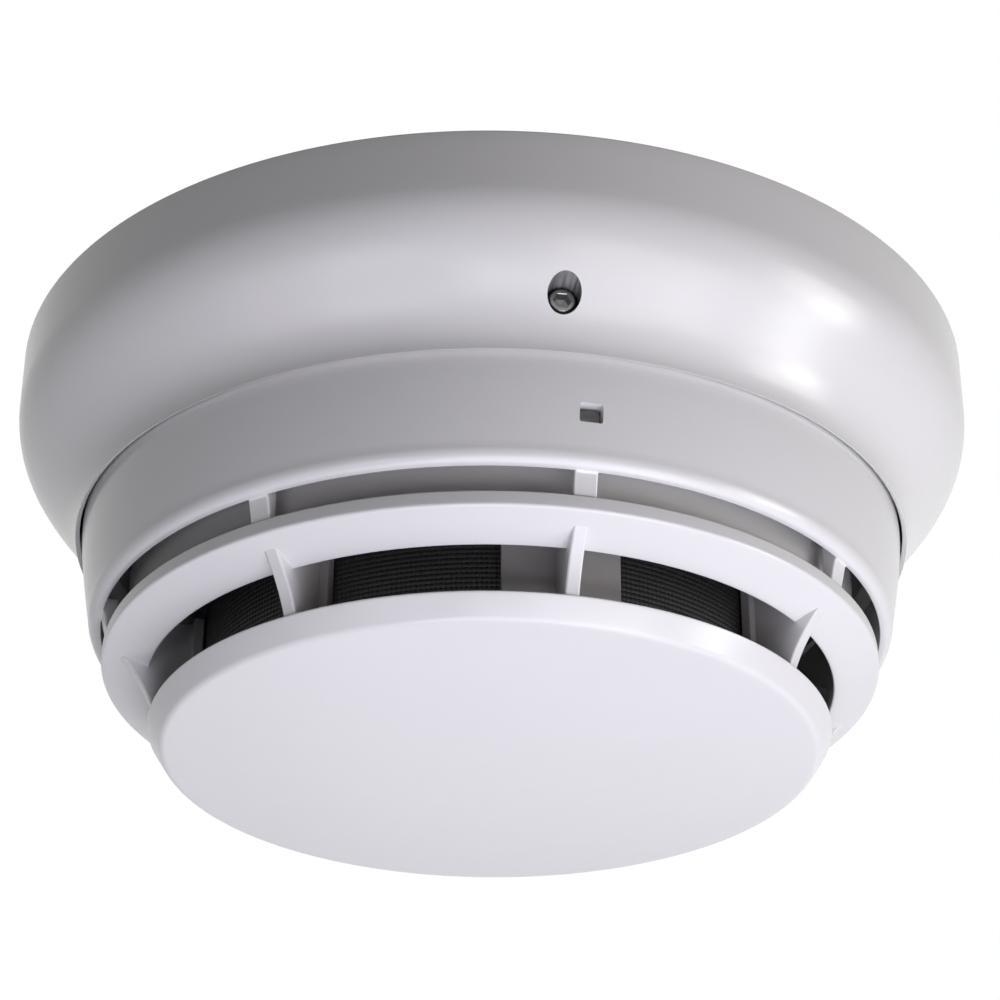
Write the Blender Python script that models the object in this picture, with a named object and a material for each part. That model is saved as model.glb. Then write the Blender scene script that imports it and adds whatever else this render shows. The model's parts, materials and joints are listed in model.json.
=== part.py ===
"""Ceiling heat detector: a twist-lock sensing head hanging in a flared mounting base.

The detector hangs from the ceiling plane z = 0 with its axis on Z. Its front, where the status
window sits, faces -Y. Outlines are drawn as (radius, depth), with depth measured down from the
ceiling. Angles are in degrees, turned from the front towards +X.
"""

import math

import bmesh
import bpy
from mathutils import Matrix, Vector

MM = 0.001

# Fits between pieces
SEAT_GAP = 0.3 * MM  # between pieces that rest on each other
RUN_GAP = 0.4 * MM  # between pieces that turn past each other
DRAW_GAP = 0.4 * MM  # from each ring of the cover to the wider one above it, so that the mould opens
WELD = 0.001 * MM  # points nearer than this are one point
OVERLAP = 0.8 * MM  # how far joined solids sink into each other before they become one

# Facets round a full turn
LARGE_FACETS = 48
SMALL_FACETS = 10
LOCK_FACETS = 24

# Mounting base
BASE_RADIUS = 77.5 * MM
BASE_DEPTH = 30.0 * MM  # ceiling to lip
BASE_RIM_DEPTH = 9.4 * MM  # straight rim against the ceiling
BASE_FLARE = 10.6 * MM  # from the rim in to the lip
SHOULDER_PULL = 9.1 * MM  # how long the shoulder keeps to the rim before it turns in
LIP_PULL = 7.5 * MM  # how long it runs straight down into the lip
BASE_WALL = 2.4 * MM
LIP_WALL = 0.7 * MM
LIP_BEVEL = 0.6 * MM  # how far the lip's underside runs up towards the head
PLATE = 2.5 * MM
CABLE_ENTRY_RADIUS = 19.0 * MM
BOX_SLOT_COUNT = 4
BOX_SLOT_WIDTH = 4.6 * MM
BOX_SLOT_NEAR = 30.0 * MM  # half the closest spacing of the box screws
BOX_SLOT_FAR = 44.5 * MM  # half the widest spacing

# Locking screw in the base's shoulder
LOCK_ANGLE = -4.2
LOCK_RISE = 7.6 * MM  # above the lip
LOCK_HOLE_RADIUS = 2.4 * MM
LOCK_BOSS_RADIUS = 4.2 * MM
LOCK_BOSS_GAP = 0.6 * MM
LOCK_SCREW_LENGTH = 3.7 * MM
LOCK_SOCKET_RADIUS = 1.25 * MM
LOCK_SOCKET_DEPTH = 1.8 * MM
LOCK_NOTCH_GAP = 0.2 * MM
LOCK_FACET_TURN = 5.0  # keeps the hole's corners off the boss's corners

# Twist lock
BAYONET_COUNT = 3
BAYONET_START = 30.0
TAB_ANGLE = 14.0
TAB_REACH = 2.8 * MM
TAB_THICKNESS = 2.0 * MM
TAB_DROP = 1.3 * MM
LEDGE_THICKNESS = 2.0 * MM
LEDGE_LEAD = 0.9  # how far the ledge starts before the tab that rests on it
STOP_GAP_ANGLE = 1.0
STOP_ANGLE = 4.0
COLLAR_WALL = 2.0 * MM
COLLAR_GAP = 0.6 * MM
COLLAR_SKIRT = 0.5 * MM  # collar below its ledges

# Field wire terminals and contacts
TERMINAL_COUNT = 4
TERMINAL_START = 45.0
TERMINAL_INSET = 15.6 * MM  # in from the drum's edge
CONTACT_INSET = 5.6 * MM
TERMINAL_BOSS = 9.5 * MM
TERMINAL_BOSS_HEIGHT = 1.5 * MM
SCREW_RADIUS = 1.95 * MM
SCREW_HOLE_GAP = 0.35 * MM
SCREW_SKIN = 1.0 * MM  # plate left over the screw hole
SCREW_HEAD_RADIUS = 3.5 * MM
SCREW_HEAD = 2.2 * MM
SCREW_SLOT = 1.0 * MM
SCREW_SLOT_DEPTH = 1.1 * MM
SCREW_TRAVEL = 2.1 * MM
SCREW_CLEARANCE = 0.5 * MM  # from an opened screw to the head
CLAMP_THICKNESS = 1.0 * MM
CLAMP_WING = 1.4 * MM
SPRING_WIDTH = 6.0 * MM
SPRING_THICKNESS = 0.6 * MM
SPRING_TAIL = 4.6 * MM
SPRING_TIP = 2.6 * MM
PAD_WIDTH = 7.0 * MM
PAD_THICKNESS = 0.8 * MM
PAD_LEAD_ANGLE = 6.0
PAD_TAIL_ANGLE = 9.0
PAD_STEM_RADIUS = 1.1 * MM
PAD_STEM_LENGTH = 4.0 * MM

# Head cover: skirt, ring, fins and cap
NECK_STEP = 1.9 * MM
NECK_LEAD = 2.0 * MM  # how far the full skirt reaches up inside the base's lip
SKIRT_LENGTH = 15.8 * MM
SKIRT_TAPER = 2.2 * MM
SKIRT_BOW = 1.3
COVER_WALL = 2.0 * MM
FOOT_ROUND = 1.2 * MM
RING_DROP = 5.8 * MM  # from the skirt's foot to the ring's edge
RING_RISE = 2.3 * MM  # from the ring's edge up to its shelf
RING_SLOPE = 0.1 * MM  # draft of the ring's rim
RING_WIDTH = 7.3 * MM
RING_DISH = 2.7 * MM
RING_WALL = 1.7 * MM
RING_ROUND = 0.5 * MM
WEB_SETBACK = 3.4 * MM  # width of the shelf in front of the ring's upright web
WEB_GAP = 1.2 * MM  # from the status window's foot down to the web's top
INLET_HEIGHT = 6.6 * MM
CAP_BAND_HEIGHT = 3.7 * MM
CAP_BAND_WIDTH = 2.4 * MM
CAP_CROWN = 1.5 * MM
CAP_WALL = 2.0 * MM
CAP_LAND = 1.6 * MM
CAP_ROUND = 0.6 * MM
FIN_COUNT = 8
FIN_WIDTH = 2.1 * MM
FIN_REACH = 5.7 * MM  # out along the ring's face
FIN_HOLLOW = 0.6 * MM  # how far the fin's outer edge is drawn in
BRIDGE_WIDTH = 3.4 * MM
BRIDGE_DROP = 4.1 * MM
BRIDGE_RISE = 2.2 * MM
POST_WIDTH = 5.0 * MM
FRONT_POST_WIDTH = 17.8 * MM
POST_WALL = 1.6 * MM
WINDOW_DROP = 8.1 * MM
WINDOW_WIDTH = 3.4 * MM
WINDOW_HEIGHT = 2.8 * MM

# Head chassis
CHASSIS_WALL = 2.0 * MM
FLANGE_WIDTH = 10.0 * MM
DRUM_HEIGHT = 6.7 * MM
HOOK_COUNT = 4
HOOK_START = 67.5
HOOK_WIDTH = 7.0 * MM
HOOK_WALL = 1.6 * MM
HOOK_DROP = 1.6 * MM
HOOK_LENGTH = 2.4 * MM
HOOK_CATCH = 1.5 * MM

# Circuit board and what stands on it
BOARD = 1.6 * MM
BOARD_MARGIN = 5.8 * MM
BOARD_SCREW_COUNT = 3
BOARD_SCREW_START = 60.0
BOARD_POST_INSET = 3.4 * MM
BOARD_POST_RADIUS = 2.9 * MM
BOARD_SCREW_RADIUS = 1.2 * MM
BOARD_SCREW_HEAD_RADIUS = 2.5 * MM
BOARD_SCREW_HEAD = 1.6 * MM
BOARD_SCREW_GRIP = 5.0 * MM
CHIP_SIZE = 10.0 * MM
CHIP_HEIGHT = 1.6 * MM
LINE_CHIP_LENGTH = 6.0 * MM
LINE_CHIP_WIDTH = 4.0 * MM
CAPACITOR_RADIUS = 4.0 * MM
CAPACITOR_HEIGHT = 11.5 * MM
CHOKE_RADIUS = 5.0 * MM
CHOKE_HEIGHT = 6.5 * MM
CHOKE_WAIST = 1.4 * MM
COMPONENT_RADIUS = 26.0 * MM
LINE_CHIP_ANGLE = 75.0
CAPACITOR_ANGLES = (150.0, 210.0)
CHOKE_ANGLE = 285.0
LED_LENGTH = 3.0 * MM
LED_HEIGHT = 2.0 * MM
PIPE_LEG = 2.4 * MM
PIPE_RISE = 1.7 * MM  # from the window's middle up to the top of the pipe's leg
PIPE_INSET = 8.4 * MM
LENS_RECESS = 1.2 * MM

# Sensing chamber
SCREEN_INSET = 7.9 * MM  # in from the cap's rim
SCREEN_WALL = 0.6 * MM
CHAMBER_ROOF = 2.0 * MM
CHAMBER_ROOF_RISE = 0.4 * MM
CHAMBER_COLUMN_RADIUS = 32.0 * MM
CHAMBER_COLUMN_WALL = 2.0 * MM
CHAMBER_FLOOR = 1.4 * MM
CHAMBER_FLOOR_RISE = 4.6 * MM  # over the cap's edge
SEAT_RIB_RADIUS = 30.0 * MM
SEAT_RIB_WALL = 2.0 * MM
VANE_COUNT = 20
VANE_LENGTH = 9.0 * MM
VANE_WALL = 1.0 * MM
VANE_BEND = 2.2 * MM
VANE_TURN = 40.0
LABYRINTH_GAP = 1.6 * MM
OPTIC_ANGLE = 60.0
OPTIC_SPREAD = 120.0
OPTIC_RADIUS = 2.5 * MM
OPTIC_PLACE = 18.0 * MM
OPTIC_RISE = 4.0 * MM
OPTIC_REACH = 2.5 * MM
OPTIC_LEAD_RADIUS = 0.7 * MM

# Heat sensors in the air inlet
SENSOR_ANGLES = (112.5, 247.5)
SENSOR_POST_RADIUS = 2.1 * MM
SENSOR_POST_BORE = 1.1 * MM
SENSOR_LEAD_RADIUS = 0.7 * MM
SENSOR_BEAD_RADIUS = 1.3 * MM
SENSOR_BARE_LEAD = 3.0 * MM

# Radii that follow from the sizes above, from the base's lip inwards
LIP_RADIUS = BASE_RADIUS - BASE_FLARE
LIP_BORE = LIP_RADIUS - LIP_WALL
SKIRT_RADIUS = LIP_BORE - RUN_GAP
FOOT_RADIUS = SKIRT_RADIUS - SKIRT_TAPER
NECK_RADIUS = SKIRT_RADIUS - NECK_STEP
NECK_BORE = NECK_RADIUS - COVER_WALL
FLANGE_RADIUS = NECK_BORE - SEAT_GAP
DRUM_RADIUS = FLANGE_RADIUS - FLANGE_WIDTH
DRUM_BORE = DRUM_RADIUS - CHASSIS_WALL
LEDGE_RADIUS = DRUM_RADIUS + RUN_GAP
COLLAR_BORE = DRUM_RADIUS + TAB_REACH + COLLAR_GAP
COLLAR_RADIUS = COLLAR_BORE + COLLAR_WALL
TERMINAL_RADIUS = DRUM_RADIUS - TERMINAL_INSET
CONTACT_RADIUS = DRUM_RADIUS - CONTACT_INSET
RING_RADIUS = FOOT_RADIUS - COVER_WALL - DRAW_GAP
RING_TOP_RADIUS = RING_RADIUS - RING_SLOPE
RING_BORE = RING_RADIUS - RING_WIDTH
WEB_RADIUS = RING_TOP_RADIUS - WEB_SETBACK
WEB_BORE = WEB_RADIUS - RING_WALL
WEB_MIDDLE = (WEB_BORE + WEB_RADIUS) / 2
CAP_RADIUS = RING_BORE - DRAW_GAP
CAP_FACE_RADIUS = CAP_RADIUS - CAP_BAND_WIDTH
SCREEN_RADIUS = CAP_RADIUS - SCREEN_INSET
SCREEN_BORE = SCREEN_RADIUS - SCREEN_WALL
POST_BORE = SCREEN_RADIUS + RUN_GAP
POST_RADIUS = POST_BORE + POST_WALL
ROOF_RADIUS = SCREEN_BORE - SEAT_GAP
LABYRINTH_RADIUS = SCREEN_BORE - LABYRINTH_GAP
SENSOR_PLACE = (POST_RADIUS + RING_BORE) / 2
BOARD_RADIUS = SKIRT_RADIUS - COVER_WALL - BOARD_MARGIN
BOARD_SCREW_PLACE = DRUM_RADIUS + BOARD_POST_INSET
SCREW_HOLE_RADIUS = SCREW_RADIUS + SCREW_HOLE_GAP
CLAMP_SIZE = 2 * (SCREW_HEAD_RADIUS + SEAT_GAP + CLAMP_THICKNESS)
LOCK_BOSS_FACE = NECK_RADIUS + LOCK_BOSS_GAP
LOCK_SCREW_RADIUS = LOCK_HOLE_RADIUS - SEAT_GAP

# Depths that follow, from the ceiling plate down through the terminals to the chassis
BOSS_DEPTH = PLATE + TERMINAL_BOSS_HEIGHT
SPRING_DEPTH = BOSS_DEPTH + SEAT_GAP
CLAMP_DEPTH = SPRING_DEPTH + SPRING_THICKNESS + SEAT_GAP
SCREW_HEAD_DEPTH = CLAMP_DEPTH + CLAMP_THICKNESS + SEAT_GAP
DRUM_DEPTH = SCREW_HEAD_DEPTH + SCREW_HEAD + SCREW_TRAVEL + SCREW_CLEARANCE
PAD_DEPTH = DRUM_DEPTH - SEAT_GAP - PAD_THICKNESS
NOSE_DEPTH = PAD_DEPTH - SEAT_GAP
TAB_DEPTH = DRUM_DEPTH + TAB_DROP
LEDGE_DEPTH = TAB_DEPTH + TAB_THICKNESS + SEAT_GAP
COLLAR_DEPTH = LEDGE_DEPTH + LEDGE_THICKNESS + COLLAR_SKIRT
FLANGE_DEPTH = DRUM_DEPTH + DRUM_HEIGHT
FLANGE_FOOT = FLANGE_DEPTH + CHASSIS_WALL
HOOK_DEPTH = FLANGE_FOOT + HOOK_DROP
HOOK_FOOT = HOOK_DEPTH + HOOK_LENGTH
NECK_DEPTH = FLANGE_DEPTH + SEAT_GAP

# Depths that follow from the base's lip down to the cap
LOCK_DEPTH = BASE_DEPTH - LOCK_RISE
WINDOW_DEPTH = BASE_DEPTH + WINDOW_DROP
FOOT_DEPTH = BASE_DEPTH + SKIRT_LENGTH
RING_DEPTH = FOOT_DEPTH + RING_DROP
RING_TOP_DEPTH = RING_DEPTH - RING_RISE
WEB_TOP_DEPTH = WINDOW_DEPTH + WINDOW_HEIGHT / 2 + WEB_GAP
RING_FACE_DEPTH = RING_DEPTH + RING_DISH
CAP_DEPTH = RING_FACE_DEPTH + INLET_HEIGHT
CAP_EDGE_DEPTH = CAP_DEPTH + CAP_BAND_HEIGHT
PIPE_DEPTH = WINDOW_DEPTH - PIPE_RISE
LED_DEPTH = PIPE_DEPTH - SEAT_GAP - LED_HEIGHT
BOARD_FOOT = LED_DEPTH - SEAT_GAP
BOARD_DEPTH = BOARD_FOOT - BOARD
ROOF_FOOT = FOOT_DEPTH - CHAMBER_ROOF_RISE
ROOF_DEPTH = ROOF_FOOT - CHAMBER_ROOF
FLOOR_FOOT = CAP_EDGE_DEPTH - CHAMBER_FLOOR_RISE
FLOOR_DEPTH = FLOOR_FOOT - CHAMBER_FLOOR
BEAD_DEPTH = (RING_FACE_DEPTH + CAP_DEPTH) / 2

# Colour, roughness and metallic value of each finish
WHITE = ((0.80, 0.79, 0.78), 0.32, 0.0)
CHASSIS_WHITE = ((0.74, 0.73, 0.71), 0.45, 0.0)
BLACK = ((0.018, 0.018, 0.020), 0.55, 0.0)
CLEAR = ((0.45, 0.46, 0.47), 0.12, 0.0)
ZINC = ((0.55, 0.56, 0.58), 0.35, 1.0)
STEEL = ((0.42, 0.42, 0.44), 0.30, 1.0)
BRASS = ((0.72, 0.53, 0.25), 0.30, 1.0)
TIN = ((0.72, 0.72, 0.70), 0.28, 1.0)
BOARD_BLACK = ((0.015, 0.017, 0.020), 0.45, 0.0)
CHIP_BLACK = ((0.03, 0.03, 0.03), 0.50, 0.0)
CAN_BLUE = ((0.04, 0.06, 0.13), 0.35, 0.0)
FERRITE = ((0.10, 0.10, 0.11), 0.60, 0.0)
LAMP_RED = ((0.50, 0.05, 0.04), 0.20, 0.0)
BEAD_BLUE = ((0.03, 0.07, 0.20), 0.25, 0.0)
LAMP_TINT = ((0.10, 0.10, 0.16), 0.15, 0.0)


def turn(angle):
    """Turn about the detector's axis, from the front towards +X."""
    return Matrix.Rotation(math.radians(angle), 4, "Z")


def spread(count, start=0.0):
    """Angles of a pattern of equal steps round the axis."""
    return [start + 360.0 * step / count for step in range(count)]


def outward(radius, depth, angle):
    """Frame at a place round the axis whose -Y points outwards."""
    return turn(angle) @ Matrix.Translation((0.0, -radius, -depth))


def rounded(corners, steps=2):
    """Outline whose (radius, depth, fillet) corners are rounded where their fillet isn't zero."""
    points = []
    for index, (radius, depth, fillet) in enumerate(corners):
        corner = Vector((radius, depth))
        if fillet == 0.0:
            points.append(corner)
            continue
        back = Vector(corners[index - 1][:2]) - corner
        ahead = Vector(corners[(index + 1) % len(corners)][:2]) - corner
        reach = fillet / math.tan(back.angle(ahead) / 2)
        reach = min(reach, 0.45 * back.length, 0.45 * ahead.length)
        start = corner + back.normalized() * reach
        end = corner + ahead.normalized() * reach
        for step in range(steps + 1):
            part = step / steps
            points.append(start.lerp(corner, part).lerp(corner.lerp(end, part), part))
    return points


def ribbon(points, thickness):
    """Outline of a strip of even thickness along a bent centre line."""
    line = [Vector(point) for point in points]
    left = []
    right = []
    for index, point in enumerate(line):
        before = (point - line[index - 1]).normalized() if index > 0 else None
        after = (line[index + 1] - point).normalized() if index + 1 < len(line) else None
        before = before or after
        after = after or before
        along = (before + after).normalized()
        across = Vector((-along.y, along.x)) * (thickness / 2 / along.dot(before))
        left.append(point + across)
        right.append(point - across)
    return left + right[::-1]


def bend(start, start_pull, end_pull, end, steps):
    """Points along a curve that leaves start and meets end running straight down."""
    handles = (
        Vector(start),
        Vector((start[0], start[1] + start_pull)),
        Vector((end[0], end[1] - end_pull)),
        Vector(end),
    )
    points = []
    for step in range(steps + 1):
        t = step / steps
        shares = ((1 - t) ** 3, 3 * t * (1 - t) ** 2, 3 * t * t * (1 - t), t**3)
        points.append(sum((handle * share for handle, share in zip(handles, shares)), Vector((0, 0))))
    return points


def move_new(bm, before, place):
    """Put the points added to the mesh since before in their place."""
    fresh = [vert for vert in bm.verts if vert not in before]
    bmesh.ops.transform(bm, matrix=place, verts=fresh)


def add_turned(bm, outline, facets=LARGE_FACETS, place=Matrix()):
    """Add the outline turned once round the axis."""
    before = set(bm.verts)
    points = [bm.verts.new((0.0, -radius, -depth)) for radius, depth in outline]
    pairs = list(zip(points, points[1:]))
    if outline[0][0] > 0.0 or outline[-1][0] > 0.0:
        pairs.append((points[-1], points[0]))
    edges = [bm.edges.new(pair) for pair in pairs]
    bmesh.ops.spin(
        bm,
        geom=points + edges,
        axis=(0.0, 0.0, 1.0),
        cent=(0.0, 0.0, 0.0),
        angle=2 * math.pi,
        steps=facets,
        use_merge=True,
    )
    fresh = [vert for vert in bm.verts if vert not in before]
    bmesh.ops.remove_doubles(bm, verts=fresh, dist=WELD)
    move_new(bm, before, place)


def add_arc(bm, outline, start, end, steps):
    """Add the outline swept from one angle round the axis to another."""
    before = set(bm.verts)
    face = bm.faces.new([bm.verts.new((0.0, -radius, -depth)) for radius, depth in outline])
    bmesh.ops.spin(
        bm,
        geom=[face, *face.edges, *face.verts],
        axis=(0.0, 0.0, 1.0),
        cent=(0.0, 0.0, 0.0),
        angle=math.radians(end - start),
        steps=steps,
    )
    move_new(bm, before, turn(start))


def add_slab(bm, outline, width, place=Matrix()):
    """Add a plate of the given width that stands in the front radial plane."""
    before = set(bm.verts)
    face = bm.faces.new([bm.verts.new((-width / 2, -radius, -depth)) for radius, depth in outline])
    extruded = bmesh.ops.extrude_face_region(bm, geom=[face])["geom"]
    moved = [item for item in extruded if isinstance(item, bmesh.types.BMVert)]
    bmesh.ops.translate(bm, verts=moved, vec=(width, 0.0, 0.0))
    move_new(bm, before, place)


def add_prism(bm, outline, top, bottom, place=Matrix()):
    """Add a plan outline drawn in X and Y, carried down from one depth to another."""
    before = set(bm.verts)
    face = bm.faces.new([bm.verts.new((x, y, -top)) for x, y in outline])
    extruded = bmesh.ops.extrude_face_region(bm, geom=[face])["geom"]
    moved = [item for item in extruded if isinstance(item, bmesh.types.BMVert)]
    bmesh.ops.translate(bm, verts=moved, vec=(0.0, 0.0, top - bottom))
    move_new(bm, before, place)


def rectangle(width, length):
    """Plan outline of a rectangle about the origin."""
    return [
        (-width / 2, -length / 2),
        (width / 2, -length / 2),
        (width / 2, length / 2),
        (-width / 2, length / 2),
    ]


def circle(radius, facets=SMALL_FACETS):
    """Plan outline of a circle about the origin."""
    steps = [2 * math.pi * (step + 0.5) / facets for step in range(facets)]
    return [(radius * math.cos(step), radius * math.sin(step)) for step in steps]


def capsule(width, near, far, facets=5):
    """Plan outline of a round-ended slot that runs outwards along -Y."""
    points = []
    for middle, start in ((-far, math.pi), (-near, 0.0)):
        for step in range(facets + 1):
            angle = start + math.pi * step / facets
            points.append((width / 2 * math.cos(angle), middle + width / 2 * math.sin(angle)))
    return points


def pin(radius, top, bottom):
    """Outline of a plain round pin, for turning."""
    return [(0.0, top), (radius, top), (radius, bottom), (0.0, bottom)]


def tube(bore, radius, top, foot):
    """Section of a plain tube, for turning or for an arc of one."""
    return [(bore, top), (radius, top), (radius, foot), (bore, foot)]


def solid(name, bm):
    """Object made of the finished mesh, with its faces pointing out."""
    bmesh.ops.recalc_face_normals(bm, faces=bm.faces)
    mesh = bpy.data.meshes.new(name)
    bm.to_mesh(mesh)
    bm.free()
    obj = bpy.data.objects.new(name, mesh)
    bpy.context.scene.collection.objects.link(obj)
    return obj


def combine(obj, operation, bm):
    """Join to the object, or cut from it, or keep of it, what the mesh covers."""
    tool = solid(f"{obj.name}_tool", bm)
    modifier = obj.modifiers.new(operation, "BOOLEAN")
    modifier.operation = operation
    modifier.solver = "EXACT"
    modifier.object = tool
    graph = bpy.context.evaluated_depsgraph_get()
    mesh = bpy.data.meshes.new_from_object(obj.evaluated_get(graph))
    obj.modifiers.clear()
    old = obj.data
    obj.data = mesh
    bpy.data.meshes.remove(old)
    bpy.data.meshes.remove(tool.data)


def finish(obj, look, parent=None, smooth=32.0):
    """Give the object its material and shading, and hang it on its parent."""
    colour, roughness, metallic = look
    material = bpy.data.materials.new(f"{obj.name}_finish")
    material.use_nodes = True
    shader = material.node_tree.nodes["Principled BSDF"]
    shader.inputs["Base Color"].default_value = (*colour, 1.0)
    shader.inputs["Roughness"].default_value = roughness
    shader.inputs["Metallic"].default_value = metallic
    obj.data.materials.clear()
    obj.data.materials.append(material)
    obj.data.shade_smooth()
    obj.data.set_sharp_from_angle(angle=math.radians(smooth))
    obj.parent = parent
    return obj


def axis_empty(name, place=Matrix()):
    """Empty that carries the pieces of one moving group."""
    empty = bpy.data.objects.new(name, None)
    empty.matrix_world = place
    bpy.context.scene.collection.objects.link(empty)
    return empty


def skirt_radius_at(depth):
    """Outer radius of the head's skirt, which tapers faster towards its foot."""
    part = max(0.0, depth - BASE_DEPTH) / (SKIRT_LENGTH - FOOT_ROUND)
    return SKIRT_RADIUS - SKIRT_TAPER * part**SKIRT_BOW


def cap_depth_at(radius):
    """Depth of the cap's domed face."""
    return CAP_EDGE_DEPTH + CAP_CROWN * (1 - (radius / CAP_FACE_RADIUS) ** 2)


def ring_face_at(radius):
    """Depth of the ring's dished lower face."""
    return RING_DEPTH + RING_DISH * (RING_RADIUS - radius) / RING_WIDTH


def shoulder(inset_top, inset_lip, steps):
    """Ogee of the base's shoulder, moved in from its outer face."""
    lip = (LIP_RADIUS, BASE_DEPTH)
    curve = bend((BASE_RADIUS, BASE_RIM_DEPTH), SHOULDER_PULL, LIP_PULL, lip, steps)
    insets = [inset_top + (inset_lip - inset_top) * step / steps for step in range(steps + 1)]
    return [Vector((point.x - inset, point.y)) for point, inset in zip(curve, insets)]


def mounting_base():
    """Flared base with its ceiling plate, bayonet collar and terminal bosses."""
    outside = [(BASE_RADIUS, 0.0), *shoulder(0.0, 0.0, 10)]
    inside = shoulder(BASE_WALL, LIP_WALL, 5)[::-1]
    inside[0] = (LIP_BORE, BASE_DEPTH - LIP_BEVEL)
    inside.append((BASE_RADIUS - BASE_WALL, PLATE))
    bm = bmesh.new()
    add_turned(bm, [*outside, *inside, (CABLE_ENTRY_RADIUS, PLATE), (CABLE_ENTRY_RADIUS, 0.0)])
    base = solid("mounting_base", bm)

    bm = bmesh.new()
    root = PLATE - OVERLAP
    add_turned(bm, tube(COLLAR_BORE, COLLAR_RADIUS, root, COLLAR_DEPTH))
    for angle in spread(TERMINAL_COUNT, TERMINAL_START):
        place = outward(TERMINAL_RADIUS, 0.0, angle)
        add_prism(bm, rectangle(TERMINAL_BOSS, TERMINAL_BOSS), root, BOSS_DEPTH, place)
    combine(base, "UNION", bm)

    bm = bmesh.new()
    ledge_foot = LEDGE_DEPTH + LEDGE_THICKNESS
    ledge_root = COLLAR_BORE + OVERLAP
    for angle in spread(BAYONET_COUNT, BAYONET_START):
        start = angle - TAB_ANGLE / 2 - LEDGE_LEAD
        stop = angle + TAB_ANGLE / 2 + STOP_GAP_ANGLE
        add_arc(bm, tube(LEDGE_RADIUS, ledge_root, LEDGE_DEPTH, ledge_foot), start, stop, 3)
    combine(base, "UNION", bm)

    bm = bmesh.new()
    stop_bore = LEDGE_RADIUS + SEAT_GAP
    stop_root = COLLAR_BORE + OVERLAP / 2
    stop_lap = math.degrees(OVERLAP / COLLAR_BORE) / 2
    for angle in spread(BAYONET_COUNT, BAYONET_START):
        stop = angle + TAB_ANGLE / 2 + STOP_GAP_ANGLE
        section = tube(stop_bore, stop_root, TAB_DEPTH, ledge_foot + SEAT_GAP)
        add_arc(bm, section, stop - stop_lap, stop + STOP_ANGLE, 2)
    combine(base, "UNION", bm)

    lock_boss(base)

    bm = bmesh.new()
    for angle in spread(BOX_SLOT_COUNT):
        slot = capsule(BOX_SLOT_WIDTH, BOX_SLOT_NEAR, BOX_SLOT_FAR)
        add_prism(bm, slot, -OVERLAP, PLATE + OVERLAP, turn(angle))
    for angle in spread(TERMINAL_COUNT, TERMINAL_START):
        place = outward(TERMINAL_RADIUS, 0.0, angle)
        add_prism(bm, circle(SCREW_HOLE_RADIUS), SCREW_SKIN, BOSS_DEPTH + OVERLAP, place)
    combine(base, "DIFFERENCE", bm)
    return finish(base, WHITE)


def lock_line():
    """Frame on the locking screw's axis, in which depth runs inwards from the shoulder."""
    return outward(0.0, LOCK_DEPTH, LOCK_ANGLE) @ Matrix.Rotation(math.pi / 2, 4, "X")


def lock_boss(base):
    """Boss inside the shoulder for the locking screw, and the hole through both."""
    along = lock_line()
    bm = bmesh.new()
    add_prism(bm, circle(LOCK_BOSS_RADIUS, LOCK_FACETS), -BASE_RADIUS, -LOCK_BOSS_FACE, along)
    boss = solid("lock_boss", bm)
    bm = bmesh.new()
    skin = shoulder(LIP_WALL / 2, LIP_WALL / 2, 10)
    add_turned(bm, [(0.0, 0.0), (skin[0].x, 0.0), *skin, (0.0, BASE_DEPTH)])
    combine(boss, "INTERSECT", bm)
    bm = bmesh.new()
    bm.from_mesh(boss.data)
    bpy.data.meshes.remove(boss.data)
    combine(base, "UNION", bm)
    bm = bmesh.new()
    hole = circle(LOCK_HOLE_RADIUS, LOCK_FACETS)
    add_prism(bm, hole, -BASE_RADIUS - OVERLAP, -COLLAR_RADIUS, along @ turn(LOCK_FACET_TURN))
    combine(base, "DIFFERENCE", bm)


def lock_screw(parent):
    """Socket set screw whose axis runs along its own Y, inwards from the shoulder."""
    near = LOCK_BOSS_FACE + SEAT_GAP
    far = near + LOCK_SCREW_LENGTH
    along = Matrix.Rotation(math.pi / 2, 4, "X")
    point = LOCK_SCREW_RADIUS / 2
    bm = bmesh.new()
    cone = [(LOCK_SCREW_RADIUS, -near - point), (point, -near), (0.0, -near)]
    add_turned(bm, [(0.0, -far), (LOCK_SCREW_RADIUS, -far), *cone], LOCK_FACETS, along)
    screw = solid("lock_screw", bm)
    bm = bmesh.new()
    add_prism(bm, circle(LOCK_SOCKET_RADIUS, 6), -far - OVERLAP, LOCK_SOCKET_DEPTH - far, along)
    combine(screw, "DIFFERENCE", bm)
    return finish(screw, STEEL, parent)


def contact_spring(name, parent):
    """Leaf that runs out from its terminal and dips to press on a pad of the head."""
    middle = SPRING_DEPTH + SPRING_THICKNESS / 2
    nose = TERMINAL_INSET - CONTACT_INSET
    dip = NOSE_DEPTH - SPRING_THICKNESS / 2
    heel = CLAMP_SIZE / 2 + SPRING_THICKNESS
    line = [
        (-SPRING_TAIL, middle),
        (heel, middle),
        (nose - SPRING_THICKNESS, dip - SPRING_THICKNESS / 2),
        (nose, dip),
        (nose + SPRING_THICKNESS, dip - SPRING_THICKNESS / 2),
        (nose + SPRING_TIP, dip - SPRING_TIP / 2),
    ]
    bm = bmesh.new()
    add_slab(bm, ribbon(line, SPRING_THICKNESS), SPRING_WIDTH)
    spring = solid(name, bm)
    bm = bmesh.new()
    add_prism(bm, circle(SCREW_HOLE_RADIUS), PLATE, NOSE_DEPTH)
    combine(spring, "DIFFERENCE", bm)
    return finish(spring, TIN, parent)


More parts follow.
